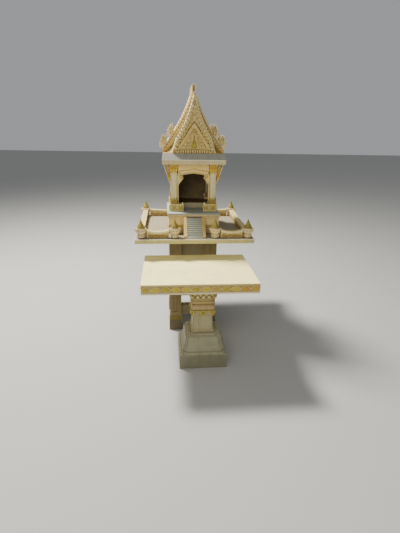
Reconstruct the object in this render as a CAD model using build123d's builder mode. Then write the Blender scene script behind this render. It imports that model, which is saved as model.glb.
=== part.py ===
from build123d import *
import os

# Thai spirit house of painted cast cement, with its offering table in front.
# Millimetres, +Z up, front of the house towards -Y. The origin is on the ground,
# in the middle of the whole set.

# Levels of the stand, the platform and the house, above the ground
PLATFORM_TOP = 845
PLATFORM_THICK = 34
PLINTH_HEIGHT = 132
LEDGE_THICK = 25
ROOM_HEIGHT = 354
EAVE_THICK = 35
SKIRT_RISE = 46

# Platform, and the table that it overhangs
PLATFORM_SIZE = 880
TABLE_WIDTH = 750
TABLE_DEPTH = 600
TABLE_TOP = 696
TABLE_THICK = 67
PLATFORM_OVERHANG = 90

TOTAL_DEPTH = TABLE_DEPTH + PLATFORM_SIZE - PLATFORM_OVERHANG
HOUSE_Y = (TOTAL_DEPTH - PLATFORM_SIZE) / 2
TABLE_Y = (TABLE_DEPTH - TOTAL_DEPTH) / 2

PLATFORM_UNDER = PLATFORM_TOP - PLATFORM_THICK
PLINTH_TOP = PLATFORM_TOP + PLINTH_HEIGHT
FLOOR = PLINTH_TOP + LEDGE_THICK
EAVE_UNDER = FLOOR + ROOM_HEIGHT
EAVE_TOP = EAVE_UNDER + EAVE_THICK
ROOF_BASE = EAVE_TOP + SKIRT_RISE

# Stand of four legs
STAND_WIDTH = 374
STAND_DEPTH = 480
LEG = 94
LEG_BAND = 100
LEG_FOOT = 106
LEG_FOOT_HEIGHT = 84
LEG_BAND_HEIGHT = 45
LEG_PANEL_WIDTH = 44
LEG_PANEL_DEPTH = 5
LEG_PANEL_GAP = 30
STRETCHER_HEIGHT = 82
STRETCHER_THICK = 56
STRETCHER_LEVEL = 132
APRON_HEIGHT = 170
APRON_THICK = 40

# Parapet round the platform
POST_INSET = 45
INNER_POST_X = 150
POST_HEIGHT = 73
POST_FOOT_RADIUS = 30
POST_NECK_RADIUS = 25
POST_RADIUS = 41
CAP_RADIUS = 29
CAP_WAIST_RADIUS = 13
CAP_HEIGHT = 68
PARAPET_HEIGHT = 62
PARAPET_SAG = 14
PARAPET_THICK = 24
RIM_THICK = 38
RIM_HEIGHT = 15

# Plinth of the house, its ledge and the stair
PLINTH_WIDTH = 384
PLINTH_FRONT = 267
PLINTH_BACK = 205
PLINTH_BAND = 14
PLINTH_BAND_LEVEL = 51
MOULDING = 4
LEDGE_OVERHANG = 10
STEPS = 10
STAIR_RUN = 133
TREAD_WIDTH = 116
STRINGER_THICK = 22
STRINGER_RISE = 16
STAIR_FOOT = 15
STAIR_FOOT_HEIGHT = 8

# Room: columns at the corners and walls between them
COLUMN = 55
COLUMN_X = 149.5
COLUMN_Y = 162.5
COLUMN_REDENT = 5
RAIL_HEIGHT = 56
RAIL_INNER_X = 76
RAIL_THICK = 20
NEWEL = 17
NEWEL_POINT = 14
NEWEL_TAPER = 25
PEDESTAL_PROUD = 6
LOTUS_HEIGHT = 27
LOTUS_FLARE = 5
CAPITAL_HEIGHT = 67
CAPITAL_FLARE = 4
ABACUS = 11
WALL = 20
FRONT_WALL_FACE = 182
DOOR_HALF = 114
DOOR_JAMB = 210
DOOR_KNEE_HALF = 78
DOOR_KNEE = 250
DOOR_HEAD_HALF = 83
DOOR_HEAD = 281
DOOR_CROWN = 288
INNER_FLOOR_HEIGHT = 43
INNER_FLOOR_FRONT = -49

# Eave and the struts below it
EAVE_SIZE = 472
STRUT_FOOT = 210
STRUT_JOINT = 84
STRUT_REACH = 51
STRUT_WIDTH = 30
STRUT_SAG = 4
STRUT_THICK = 18

# Main roof, seen from the front as half of its outline, with heights above the skirt
SKIRT_TOP_HALF = 228
ROOF_HEIGHT = 413
ROOF_TOP_HALF = 14
ROOF_KNEE_X = 148
ROOF_KNEE_HEIGHT = 147
ROOF_SAG = 11
ROOF_FOOT_X = 236
ROOF_FOOT_HEIGHT = 25
MAIN_ROOF_LENGTH = 180
BARGE_THICK = 14
BARGE_WIDTH = 41
RIDGE_HEIGHT = 16
RIDGE_THICK = 14
CORNER_SLOPE_RISE = 55
CORNER_SLOPE_X = 222

# Porch roofs in front of and behind the main roof
PORCH_HEIGHT = 391
PORCH_TOP_HALF = 5
PORCH_KNEE_X = 130
PORCH_KNEE_HEIGHT = 98
PORCH_SAG = 16
PORCH_FOOT_X = 162
PORCH_FACE = 200
TYMPANUM_HEIGHT = 216
TYMPANUM_KNEE_X = 105
TYMPANUM_KNEE_HEIGHT = 66
TYMPANUM_FOOT_X = 150
TYMPANUM_RECESS = 4
TYMPANUM_BORDER = 24
TYMPANUM_FIELD_RECESS = 4

# Crest leaves along the slopes, and the flames at their ends
CREST_HEIGHT = 8
CREST_ROOT = 3
CREST_START = 0.06
CREST_END = 0.92
CREST_UPPER = 11
CREST_LOWER = 2
CREST_PORCH = 13
FLAME_TOOTH = 5

# Each flame as inner x, outer x and tip x, rise of the tip and bulge of the outer edge
UPPER_FLAME = (ROOF_KNEE_X, 184, 157, 64, 13)
LOWER_FLAME = (201, 236, 221, 60, 21)
RIDGE_FINIAL_HEIGHT = 65
RIDGE_FINIAL_WIDTH = 31
RIDGE_FINIAL_THICK = 26
RIDGE_FINIAL_RIM = 6
RIDGE_FINIAL_RECESS = 5
PORCH_FINIAL_HEIGHT = 26
PORCH_FINIAL_WIDTH = 14
PORCH_FINIAL_THICK = 12

# Offering table, and the mouldings of its pillar as levels and full widths
TABLE_LIP = 4
TABLE_BAND_HEIGHT = 43
TABLE_LIP_HEIGHT = 13
PILLAR_FOOT = 336
PILLAR_FOOT_HEIGHT = 105
PILLAR_X = 38
PILLAR_REDENT = 9
PILLAR_BLOCK_REDENT = 24
PILLAR_BLOCK = [
    (105, 334),
    (109, 322),
    (119, 318),
    (121, 300),
    (139, 294),
    (162, 266),
    (222, 250),
    (229, 216),
    (240, 212),
]
PILLAR_SHAFT = [(240, 166), (246, 166), (254, 148), (363, 138)]
PILLAR_NECK = [
    (363, 144),
    (367, 152),
    (403, 162),
    (408, 162),
    (411, 156),
    (418, 163),
    (440, 163),
    (450, 145),
    (456, 147),
    (463, 163),
    (474, 163),
    (481, 146),
    (492, 146),
    (498, 160),
]
PILLAR_CAPITAL = [(498, 166), (542, 173), (556, 188), (596, 216)]

os.makedirs("parts", exist_ok=True)


def keep(piece, name):
    """Label a finished piece and write its file."""
    piece.part.label = name
    export_step(piece.part, f"parts/{name}.step")


def block(width, depth, height, x=0.0, y=0.0, z=0.0, mode=Mode.ADD):
    """Stand a block on level z, with its foot centred on x and y."""
    with Locations((x, y, z)):
        Box(width, depth, height, align=(Align.CENTER, Align.CENTER, Align.MIN), mode=mode)


def front_plane(y):
    """Upright drawing plane at y: x to the right and y of the drawing upwards."""
    return Plane((0, y, 0), x_dir=(1, 0, 0), z_dir=(0, -1, 0))


def profile_slab(profile, inset, middle, plane, reach):
    """Extrude the outline of a profile of levels and full widths to both sides of a plane."""
    right = [(middle + width / 2 - inset, level) for level, width in profile]
    left = [(2 * middle - across, level) for across, level in reversed(right)]
    with BuildSketch(plane, mode=Mode.PRIVATE) as outline:
        Polygon(*right, *left, align=None)
    return extrude(outline.sketch, amount=reach, both=True, mode=Mode.PRIVATE)


def moulding(profile, redent, x=0.0, y=0.0):
    """Run a profile round a square with mitred corners, which step back twice if redent is not 0."""
    reach = max(width for level, width in profile)
    for inset_x, inset_y in {(0, redent), (redent / 2, redent / 2), (redent, 0)}:
        across = profile_slab(profile, inset_x, x, front_plane(y), reach)
        along = profile_slab(profile, inset_y, y, Plane.YZ.offset(x), reach)
        add(across & along)


# Stand
def stand_leg(x, y):
    """Add one leg with a foot, a band and a sunk panel on each face."""
    foot_top = LEG_FOOT_HEIGHT
    band_top = foot_top + LEG_BAND_HEIGHT
    panel_base = band_top + LEG_PANEL_GAP
    panel_height = PLATFORM_UNDER - APRON_HEIGHT - LEG_PANEL_GAP - panel_base
    block(LEG_FOOT, LEG_FOOT, foot_top, x, y)
    block(LEG_BAND, LEG_BAND, LEG_BAND_HEIGHT, x, y, foot_top)
    block(LEG, LEG, PLATFORM_UNDER - band_top, x, y, band_top)
    for side_x, side_y in ((1, 0), (-1, 0), (0, 1), (0, -1)):
        block(
            LEG_PANEL_WIDTH if side_y else 2 * LEG_PANEL_DEPTH,
            LEG_PANEL_WIDTH if side_x else 2 * LEG_PANEL_DEPTH,
            panel_height,
            x + side_x * LEG / 2,
            y + side_y * LEG / 2,
            panel_base,
            mode=Mode.SUBTRACT,
        )


LEG_X = (STAND_WIDTH - LEG) / 2
LEG_Y = (STAND_DEPTH - LEG) / 2
with BuildPart() as stand_legs:
    for front in (-1, 1):
        for side in (-1, 1):
            stand_leg(side * LEG_X, HOUSE_Y + front * LEG_Y)
keep(stand_legs, "stand_legs")


def stand_rails(height, thick, level):
    """Four rails between the legs, one on each side of the stand."""
    for sign in (-1, 1):
        block(2 * LEG_X - LEG, thick, height, 0, HOUSE_Y + sign * LEG_Y, level)
        block(thick, 2 * LEG_Y - LEG, height, sign * LEG_X, HOUSE_Y, level)


with BuildPart() as stand_stretchers:
    stand_rails(STRETCHER_HEIGHT, STRETCHER_THICK, STRETCHER_LEVEL)
keep(stand_stretchers, "stand_stretchers")

with BuildPart() as stand_apron:
    stand_rails(APRON_HEIGHT, APRON_THICK, PLATFORM_UNDER - APRON_HEIGHT)
keep(stand_apron, "stand_apron")

with BuildPart() as platform_slab:
    block(PLATFORM_SIZE, PLATFORM_SIZE, PLATFORM_THICK, 0, HOUSE_Y, PLATFORM_UNDER)
    chamfer(platform_slab.edges().filter_by(Axis.Z), MOULDING)
    chamfer(platform_slab.faces().sort_by(Axis.Z)[-1].edges(), MOULDING)
keep(platform_slab, "platform_slab")

# Parapet
POST_X = PLATFORM_SIZE / 2 - POST_INSET
POST_SPOTS = [
    (-POST_X, HOUSE_Y - POST_X),
    (-INNER_POST_X, HOUSE_Y - POST_X),
    (INNER_POST_X, HOUSE_Y - POST_X),
    (POST_X, HOUSE_Y - POST_X),
    (-POST_X, HOUSE_Y + POST_X),
    (POST_X, HOUSE_Y + POST_X),
]

with BuildPart(mode=Mode.PRIVATE) as one_post:
    with BuildSketch(Plane.XZ):
        Polygon(
            (0, 0),
            (POST_FOOT_RADIUS, 0),
            (POST_NECK_RADIUS, POST_HEIGHT * 0.3),
            (POST_RADIUS, POST_HEIGHT * 0.75),
            (POST_RADIUS - MOULDING, POST_HEIGHT),
            (0, POST_HEIGHT),
            align=None,
        )
    revolve(axis=Axis.Z)

with BuildPart(mode=Mode.PRIVATE) as one_cap:
    with BuildSketch(Plane.XZ):
        Polygon(
            (0, 0),
            (CAP_RADIUS, 0),
            (CAP_WAIST_RADIUS, CAP_HEIGHT * 0.45),
            (0, CAP_HEIGHT),
            align=None,
        )
    revolve(axis=Axis.Z)

with BuildPart() as parapet_posts:
    with Locations(*[(x, y, PLATFORM_TOP) for x, y in POST_SPOTS]):
        add(one_post.part)
keep(parapet_posts, "parapet_posts")

with BuildPart() as post_caps:
    with Locations(*[(x, y, PLATFORM_TOP + POST_HEIGHT) for x, y in POST_SPOTS]):
        add(one_cap.part)
keep(post_caps, "post_caps")


def parapet_wall(length, middle, along):
    """Add a low wall with a thick rim whose top sags between two posts."""
    half = length / 2
    top = PLATFORM_TOP + PARAPET_HEIGHT
    plane = Plane(middle, x_dir=along, z_dir=Vector(along).cross(Vector(0, 0, 1)))
    with BuildSketch(plane) as panel:
        with BuildLine():
            sag = SagittaArc((half, top - RIM_HEIGHT / 2), (-half, top - RIM_HEIGHT / 2), PARAPET_SAG)
            Polyline(sag @ 1, (-half, PLATFORM_TOP), (half, PLATFORM_TOP), sag @ 0)
        make_face()
    extrude(panel.sketch, amount=PARAPET_THICK / 2, both=True)
    with BuildSketch(plane) as rim:
        with BuildLine():
            upper = SagittaArc((half, top), (-half, top), PARAPET_SAG)
            lower = SagittaArc((-half, top - RIM_HEIGHT), (half, top - RIM_HEIGHT), -PARAPET_SAG)
            Line(upper @ 1, lower @ 0)
            Line(lower @ 1, upper @ 0)
        make_face()
    extrude(rim.sketch, amount=RIM_THICK / 2, both=True)


SIDE_WALL_LENGTH = 2 * (POST_X - POST_RADIUS)
FRONT_WALL_LENGTH = POST_X - INNER_POST_X - 2 * POST_RADIUS
FRONT_WALL_X = (POST_X + INNER_POST_X) / 2
with BuildPart() as parapet_front:
    for side in (-1, 1):
        parapet_wall(FRONT_WALL_LENGTH, (side * FRONT_WALL_X, HOUSE_Y - POST_X, 0), (1, 0, 0))
keep(parapet_front, "parapet_front")

with BuildPart() as parapet_back:
    parapet_wall(SIDE_WALL_LENGTH, (0, HOUSE_Y + POST_X, 0), (1, 0, 0))
keep(parapet_back, "parapet_back")

for side_name, side in (("left", -1), ("right", 1)):
    with BuildPart() as parapet_side:
        parapet_wall(SIDE_WALL_LENGTH, (side * POST_X, HOUSE_Y, 0), (0, 1, 0))
    keep(parapet_side, f"parapet_{side_name}")

# Plinth, ledge and stair
PLINTH_DEPTH = PLINTH_FRONT + PLINTH_BACK
PLINTH_Y = HOUSE_Y + (PLINTH_BACK - PLINTH_FRONT) / 2

with BuildPart() as house_plinth:
    block(PLINTH_WIDTH, PLINTH_DEPTH, PLINTH_HEIGHT, 0, PLINTH_Y, PLATFORM_TOP)
    for level in (0, PLINTH_BAND_LEVEL, PLINTH_HEIGHT - PLINTH_BAND):
        block(
            PLINTH_WIDTH + 2 * MOULDING,
            PLINTH_DEPTH + 2 * MOULDING,
            PLINTH_BAND,
            0,
            PLINTH_Y,
            PLATFORM_TOP + level,
        )
keep(house_plinth, "house_plinth")

with BuildPart() as plinth_ledge:
    block(
        PLINTH_WIDTH + 2 * LEDGE_OVERHANG,
        PLINTH_DEPTH + 2 * LEDGE_OVERHANG,
        LEDGE_THICK,
        0,
        PLINTH_Y,
        PLINTH_TOP,
    )
    chamfer(plinth_ledge.faces().sort_by(Axis.Z)[-1].edges(), MOULDING)
keep(plinth_ledge, "plinth_ledge")

STAIR_TOP_Y = HOUSE_Y - PLINTH_FRONT - MOULDING
STAIR_BOTTOM_Y = STAIR_TOP_Y - STAIR_RUN
RISER = PLINTH_HEIGHT / STEPS
TREAD = STAIR_RUN / STEPS

with BuildPart() as stair_flight:
    for step in range(STEPS):
        depth = STAIR_RUN - step * TREAD
        block(TREAD_WIDTH, depth, RISER, 0, STAIR_TOP_Y - depth / 2, PLATFORM_TOP + step * RISER)
    block(TREAD_WIDTH, STAIR_FOOT, STAIR_FOOT_HEIGHT, 0, STAIR_BOTTOM_Y - STAIR_FOOT / 2, PLATFORM_TOP)
keep(stair_flight, "stair_flight")

with BuildPart() as stair_stringers:
    for side in (-1, 1):
        inner = side * TREAD_WIDTH / 2
        with BuildSketch(Plane.YZ.offset(inner)) as profile:
            Polygon(
                (STAIR_TOP_Y, PLATFORM_TOP),
                (STAIR_TOP_Y, PLINTH_TOP),
                (STAIR_TOP_Y - TREAD, PLINTH_TOP),
                (STAIR_BOTTOM_Y, PLATFORM_TOP + STRINGER_RISE),
                (STAIR_BOTTOM_Y - STAIR_FOOT, PLATFORM_TOP + STRINGER_RISE),
                (STAIR_BOTTOM_Y - STAIR_FOOT, PLATFORM_TOP),
                align=None,
            )
        extrude(profile.sketch, amount=side * STRINGER_THICK)
keep(stair_stringers, "stair_stringers")

# Porch rails, which carry the front columns
COLUMN_FACE = COLUMN_X + COLUMN / 2
COLUMN_INNER = COLUMN_X - COLUMN / 2
COLUMN_INNER_Y = COLUMN_Y - COLUMN / 2
PEDESTAL = COLUMN + 2 * PEDESTAL_PROUD


def pedestal(side, front):
    """Block under a column, on the ledge."""
    block(PEDESTAL, PEDESTAL, RAIL_HEIGHT, side * COLUMN_X, HOUSE_Y + front * COLUMN_Y, FLOOR)


RAIL_LENGTH = COLUMN_INNER - PEDESTAL_PROUD - RAIL_INNER_X
RAIL_Y = HOUSE_Y - FRONT_WALL_FACE - RAIL_THICK / 2
with BuildPart() as porch_rails:
    for side in (-1, 1):
        pedestal(side, -1)
        block(RAIL_LENGTH, RAIL_THICK, RAIL_HEIGHT, side * (RAIL_INNER_X + RAIL_LENGTH / 2), RAIL_Y, FLOOR)
        with BuildSketch(Plane((side * (RAIL_INNER_X + NEWEL / 2), RAIL_Y, FLOOR + RAIL_HEIGHT))) as newel:
            Rectangle(NEWEL, RAIL_THICK)
        extrude(newel.sketch, amount=NEWEL_POINT, taper=NEWEL_TAPER)
keep(porch_rails, "porch_rails")

with BuildPart() as back_pedestals:
    for side in (-1, 1):
        pedestal(side, 1)
keep(back_pedestals, "back_pedestals")

# Columns with lotus bases and capitals
COLUMN_SPOTS = [(sx * COLUMN_X, HOUSE_Y + sy * COLUMN_Y) for sy in (-1, 1) for sx in (-1, 1)]
LOTUS_BASE = FLOOR + RAIL_HEIGHT
SHAFT_BASE = LOTUS_BASE + LOTUS_HEIGHT
CAPITAL_BASE = EAVE_UNDER - ABACUS - CAPITAL_HEIGHT
SHAFT = COLUMN - 2 * LOTUS_FLARE

for row_name, row in (("front", COLUMN_SPOTS[:2]), ("back", COLUMN_SPOTS[2:])):
    with BuildPart() as columns:
        for x, y in row:
            moulding([(SHAFT_BASE, SHAFT), (CAPITAL_BASE, SHAFT)], COLUMN_REDENT, x, y)
    keep(columns, f"columns_{row_name}")

with BuildPart() as lotus_bases:
    for x, y in COLUMN_SPOTS:
        moulding(
            [
                (LOTUS_BASE, COLUMN),
                (LOTUS_BASE + LOTUS_HEIGHT * 0.3, COLUMN),
                (LOTUS_BASE + LOTUS_HEIGHT * 0.6, COLUMN - LOTUS_FLARE),
                (SHAFT_BASE, COLUMN),
            ],
            0,
            x,
            y,
        )
keep(lotus_bases, "lotus_bases")

with BuildPart() as column_capitals:
    for x, y in COLUMN_SPOTS:
        moulding(
            [
                (CAPITAL_BASE, SHAFT),
                (CAPITAL_BASE + CAPITAL_HEIGHT * 0.15, COLUMN),
                (CAPITAL_BASE + CAPITAL_HEIGHT * 0.3, SHAFT),
                (CAPITAL_BASE + CAPITAL_HEIGHT, COLUMN + CAPITAL_FLARE),
                (EAVE_UNDER, COLUMN + CAPITAL_FLARE),
            ],
            0,
            x,
            y,
        )
keep(column_capitals, "column_capitals")

# Walls of the room; above the lotus bases they run on to the column shafts
WALL_SPAN = COLUMN_INNER - PEDESTAL_PROUD
SHAFT_INNER = COLUMN_X - SHAFT / 2
SHAFT_INNER_Y = COLUMN_Y - SHAFT / 2
SHAFT_HEIGHT = CAPITAL_BASE - SHAFT_BASE
DOOR_HALF_OUTLINE = [
    (0, DOOR_CROWN),
    (DOOR_HEAD_HALF, DOOR_HEAD),
    (DOOR_KNEE_HALF, DOOR_KNEE),
    (DOOR_HALF, DOOR_JAMB),
    (DOOR_HALF, 0),
]

with BuildPart() as front_wall:
    face_y = HOUSE_Y - FRONT_WALL_FACE
    with BuildSketch(front_plane(face_y)) as panel:
        with Locations((0, FLOOR)):
            Rectangle(2 * WALL_SPAN, ROOM_HEIGHT, align=(Align.CENTER, Align.MIN))
        right = [(x, FLOOR + z) for x, z in DOOR_HALF_OUTLINE]
        left = [(-x, z) for x, z in reversed(right)]
        Polygon(*right, *left[:-1], align=None, mode=Mode.SUBTRACT)
    extrude(panel.sketch, amount=-WALL)
    for side in (-1, 1):
        wing_x = side * (DOOR_HALF + SHAFT_INNER) / 2
        wing_y = face_y + (WALL + COLUMN_REDENT) / 2
        block(SHAFT_INNER - DOOR_HALF, WALL - COLUMN_REDENT, SHAFT_HEIGHT, wing_x, wing_y, SHAFT_BASE)
keep(front_wall, "front_wall")

with BuildPart() as back_wall:
    back_y = HOUSE_Y + FRONT_WALL_FACE - WALL / 2
    block(2 * WALL_SPAN, WALL, ROOM_HEIGHT, 0, back_y, FLOOR)
    block(2 * SHAFT_INNER, WALL - COLUMN_REDENT, SHAFT_HEIGHT, 0, back_y - COLUMN_REDENT / 2, SHAFT_BASE)
keep(back_wall, "back_wall")

SIDE_SPAN = COLUMN_INNER_Y - PEDESTAL_PROUD
for side_name, side in (("left", -1), ("right", 1)):
    with BuildPart() as side_wall:
        wall_x = side * (COLUMN_FACE - WALL)
        block(WALL, 2 * SIDE_SPAN, ROOM_HEIGHT, wall_x, HOUSE_Y, FLOOR)
        block(WALL, 2 * SHAFT_INNER_Y, SHAFT_HEIGHT, wall_x, HOUSE_Y, SHAFT_BASE)
    keep(side_wall, f"{side_name}_wall")

with BuildPart() as inner_floor:
    inner_wall_x = COLUMN_FACE - 1.5 * WALL
    inner_wall_y = FRONT_WALL_FACE - WALL
    front_depth = SIDE_SPAN - INNER_FLOOR_FRONT
    block(
        2 * inner_wall_x,
        front_depth,
        INNER_FLOOR_HEIGHT,
        0,
        HOUSE_Y + INNER_FLOOR_FRONT + front_depth / 2,
        FLOOR,
    )
    back_depth = inner_wall_y - SIDE_SPAN
    block(2 * WALL_SPAN, back_depth, INNER_FLOOR_HEIGHT, 0, HOUSE_Y + SIDE_SPAN + back_depth / 2, FLOOR)
keep(inner_floor, "inner_floor")

# Eave, its struts and the sloped skirt above it
def eave_strut(side, y):
    """Add a leaf-shaped strut from the outer face of a column up to the eave."""
    foot = (side * COLUMN_FACE, FLOOR + STRUT_FOOT)
    joint = (side * COLUMN_FACE, FLOOR + STRUT_FOOT + STRUT_JOINT)
    outer_head = (side * (COLUMN_FACE + STRUT_REACH), EAVE_UNDER)
    inner_head = (side * (COLUMN_FACE + STRUT_REACH - STRUT_WIDTH), EAVE_UNDER)
    with BuildSketch(front_plane(y)) as strut:
        with BuildLine():
            SagittaArc(foot, outer_head, -side * STRUT_SAG)
            Line(outer_head, inner_head)
            SagittaArc(inner_head, joint, -side * STRUT_SAG)
            Line(joint, foot)
        make_face()
    extrude(strut.sketch, amount=STRUT_THICK / 2, both=True)


with BuildPart() as eave_struts:
    for front in (-1, 1):
        for side in (-1, 1):
            eave_strut(side, HOUSE_Y + front * COLUMN_Y)
keep(eave_struts, "eave_struts")

with BuildPart() as eave_slab:
    block(EAVE_SIZE, EAVE_SIZE, EAVE_THICK, 0, HOUSE_Y, EAVE_UNDER)
    chamfer(eave_slab.faces().sort_by(Axis.Z)[0].edges(), MOULDING)
keep(eave_slab, "eave_slab")

HALF_MAIN = MAIN_ROOF_LENGTH / 2
MAIN_FACE = HALF_MAIN + BARGE_THICK
PORCH_BODY_FACE = PORCH_FACE - BARGE_THICK


def corner_slope(side, end):
    """Small sloping roof in the corner between a main gable and the side of a porch."""
    inner_top = PORCH_FOOT_X - (PORCH_FOOT_X - PORCH_KNEE_X) * CORNER_SLOPE_RISE / PORCH_KNEE_HEIGHT
    with BuildSketch(front_plane(HOUSE_Y + end * MAIN_FACE)) as against_gable:
        Polygon(
            (side * PORCH_FOOT_X, ROOF_BASE),
            (side * inner_top, ROOF_BASE + CORNER_SLOPE_RISE),
            (side * CORNER_SLOPE_X, ROOF_BASE),
            align=None,
        )
    loft([against_gable.sketch, Vertex(side * PORCH_FOOT_X, HOUSE_Y + end * PORCH_BODY_FACE, ROOF_BASE)])


with BuildPart() as roof_skirt:
    with BuildSketch(Plane((0, HOUSE_Y, EAVE_TOP))) as skirt_foot:
        Rectangle(EAVE_SIZE, EAVE_SIZE)
    with BuildSketch(Plane((0, HOUSE_Y, ROOF_BASE))) as skirt_head:
        Rectangle(2 * SKIRT_TOP_HALF, 2 * PORCH_FACE)
    loft([skirt_foot.sketch, skirt_head.sketch], ruled=True)
    for end in (-1, 1):
        for side in (-1, 1):
            corner_slope(side, end)
keep(roof_skirt, "roof_skirt")

# Roof outlines, drawn on an upright plane
ROOF_TOP = ROOF_BASE + ROOF_HEIGHT
ROOF_KNEE = ROOF_BASE + ROOF_KNEE_HEIGHT
ROOF_FOOT = ROOF_BASE + ROOF_FOOT_HEIGHT
PORCH_TOP = ROOF_BASE + PORCH_HEIGHT
PORCH_KNEE = ROOF_BASE + PORCH_KNEE_HEIGHT


def crest(slope, count, start=0.0, end=1.0):
    """Add a row of leaves, each leaning towards the ridge, along a slope drawn from its top."""
    for leaf in range(count):
        head = slope @ (start + (end - start) * leaf / count)
        tail = slope @ (start + (end - start) * (leaf + 1) / count)
        outward = (tail - head).rotate(Axis.Z, 90).normalized()
        root = outward * CREST_ROOT
        Polygon(head - root, head + outward * CREST_HEIGHT, tail, tail - root, align=None)


def main_outline(base, leaves=False):
    """Outline of the main roof: concave upper slopes over straight lower ones."""
    with BuildSketch(front_plane(0), mode=Mode.PRIVATE) as outline:
        with BuildLine():
            slope = SagittaArc((ROOF_TOP_HALF, ROOF_TOP), (ROOF_KNEE_X, ROOF_KNEE), -ROOF_SAG)
            lower = Line(slope @ 1, (ROOF_FOOT_X, ROOF_FOOT))
            Polyline(lower @ 1, (ROOF_FOOT_X, base), (0, base), (0, ROOF_TOP), slope @ 0)
            gap_head = on_lower_slope(UPPER_FLAME[1] + CREST_HEIGHT)
            gap_foot = on_lower_slope(LOWER_FLAME[0] - CREST_ROOT)
            between_flames = Line(gap_head, gap_foot, mode=Mode.PRIVATE)
        make_face()
        if leaves:
            crest(slope, CREST_UPPER, CREST_START, CREST_END)
            crest(between_flames, CREST_LOWER)
        mirror(about=Plane.YZ)
    return outline.sketch


def porch_outline(base, leaves=False):
    """Outline of a porch roof, which flares at its foot."""
    with BuildSketch(front_plane(0), mode=Mode.PRIVATE) as outline:
        with BuildLine():
            slope = SagittaArc((PORCH_TOP_HALF, PORCH_TOP), (PORCH_KNEE_X, PORCH_KNEE), -PORCH_SAG)
            Polyline(slope @ 1, (PORCH_FOOT_X, base), (0, base), (0, PORCH_TOP), slope @ 0)
        make_face()
        if leaves:
            crest(slope, CREST_PORCH, CREST_START)
        mirror(about=Plane.YZ)
    return outline.sketch


def tympanum_outline(border=0.0):
    """Outline of the panel inside a porch gable, or of the field inside its border."""
    with BuildSketch(front_plane(0), mode=Mode.PRIVATE) as outline:
        Polygon(
            (0, ROOF_BASE + TYMPANUM_HEIGHT),
            (TYMPANUM_KNEE_X, ROOF_BASE + TYMPANUM_KNEE_HEIGHT),
            (TYMPANUM_FOOT_X, ROOF_BASE),
            (-TYMPANUM_FOOT_X, ROOF_BASE),
            (-TYMPANUM_KNEE_X, ROOF_BASE + TYMPANUM_KNEE_HEIGHT),
            align=None,
        )
        if border:
            offset(amount=-border, kind=Kind.INTERSECTION, mode=Mode.REPLACE)
    return outline.sketch


def on_lower_slope(x):
    """Point at x on the lower slope of the main roof."""
    share = (x - ROOF_KNEE_X) / (ROOF_FOOT_X - ROOF_KNEE_X)
    return (x, ROOF_KNEE + share * (ROOF_FOOT - ROOF_KNEE))


def slab_between(outline, y0, y1, mode=Mode.ADD):
    """Extrude an upright outline from y0 to y1."""
    start = outline.moved(Location((0, y0, 0)))
    extrude(start, amount=y1 - y0, dir=(0, 1, 0), mode=mode)


with BuildPart() as main_roof:
    slab_between(main_outline(ROOF_BASE), HOUSE_Y - HALF_MAIN, HOUSE_Y + HALF_MAIN)
keep(main_roof, "main_roof")

with BuildPart() as ridge_crest:
    crest_length = MAIN_ROOF_LENGTH - RIDGE_FINIAL_THICK
    block(RIDGE_THICK, crest_length, RIDGE_HEIGHT, 0, HOUSE_Y, ROOF_TOP)
    fillet(ridge_crest.faces().sort_by(Axis.Z)[-1].edges().filter_by(Axis.Y), RIDGE_THICK / 3)
keep(ridge_crest, "ridge_crest")

with BuildSketch(front_plane(0), mode=Mode.PRIVATE) as inside_barge:
    add(main_outline(ROOF_BASE - 2 * BARGE_WIDTH))
    offset(amount=-BARGE_WIDTH, kind=Kind.INTERSECTION, mode=Mode.REPLACE)

for end_name, end in (("front", -1), ("back", 1)):
    wall_face = HOUSE_Y + end * HALF_MAIN
    main_face = HOUSE_Y + end * MAIN_FACE
    body_face = HOUSE_Y + end * PORCH_BODY_FACE
    gable_face = HOUSE_Y + end * PORCH_FACE

    with BuildPart() as porch_roof:
        slab_between(porch_outline(ROOF_BASE), wall_face, body_face)
    keep(porch_roof, f"{end_name}_porch_roof")

    with BuildPart() as main_barge:
        slab_between(main_outline(ROOF_BASE, leaves=True), wall_face, main_face)
        slab_between(inside_barge.sketch, wall_face, main_face, mode=Mode.SUBTRACT)
        slab_between(porch_outline(ROOF_BASE), wall_face, main_face, mode=Mode.SUBTRACT)
    keep(main_barge, f"main_bargeboard_{end_name}")

    with BuildPart() as porch_barge:
        slab_between(porch_outline(ROOF_BASE, leaves=True), body_face, gable_face)
        slab_between(tympanum_outline(), body_face, gable_face, mode=Mode.SUBTRACT)
    keep(porch_barge, f"porch_bargeboard_{end_name}")

    with BuildPart() as tympanum:
        panel_face = gable_face - end * TYMPANUM_RECESS
        slab_between(tympanum_outline(), body_face, panel_face)
        field = tympanum_outline(border=TYMPANUM_BORDER)
        slab_between(field, panel_face - end * TYMPANUM_FIELD_RECESS, panel_face, mode=Mode.SUBTRACT)
    keep(tympanum, f"tympanum_{end_name}")


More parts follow.
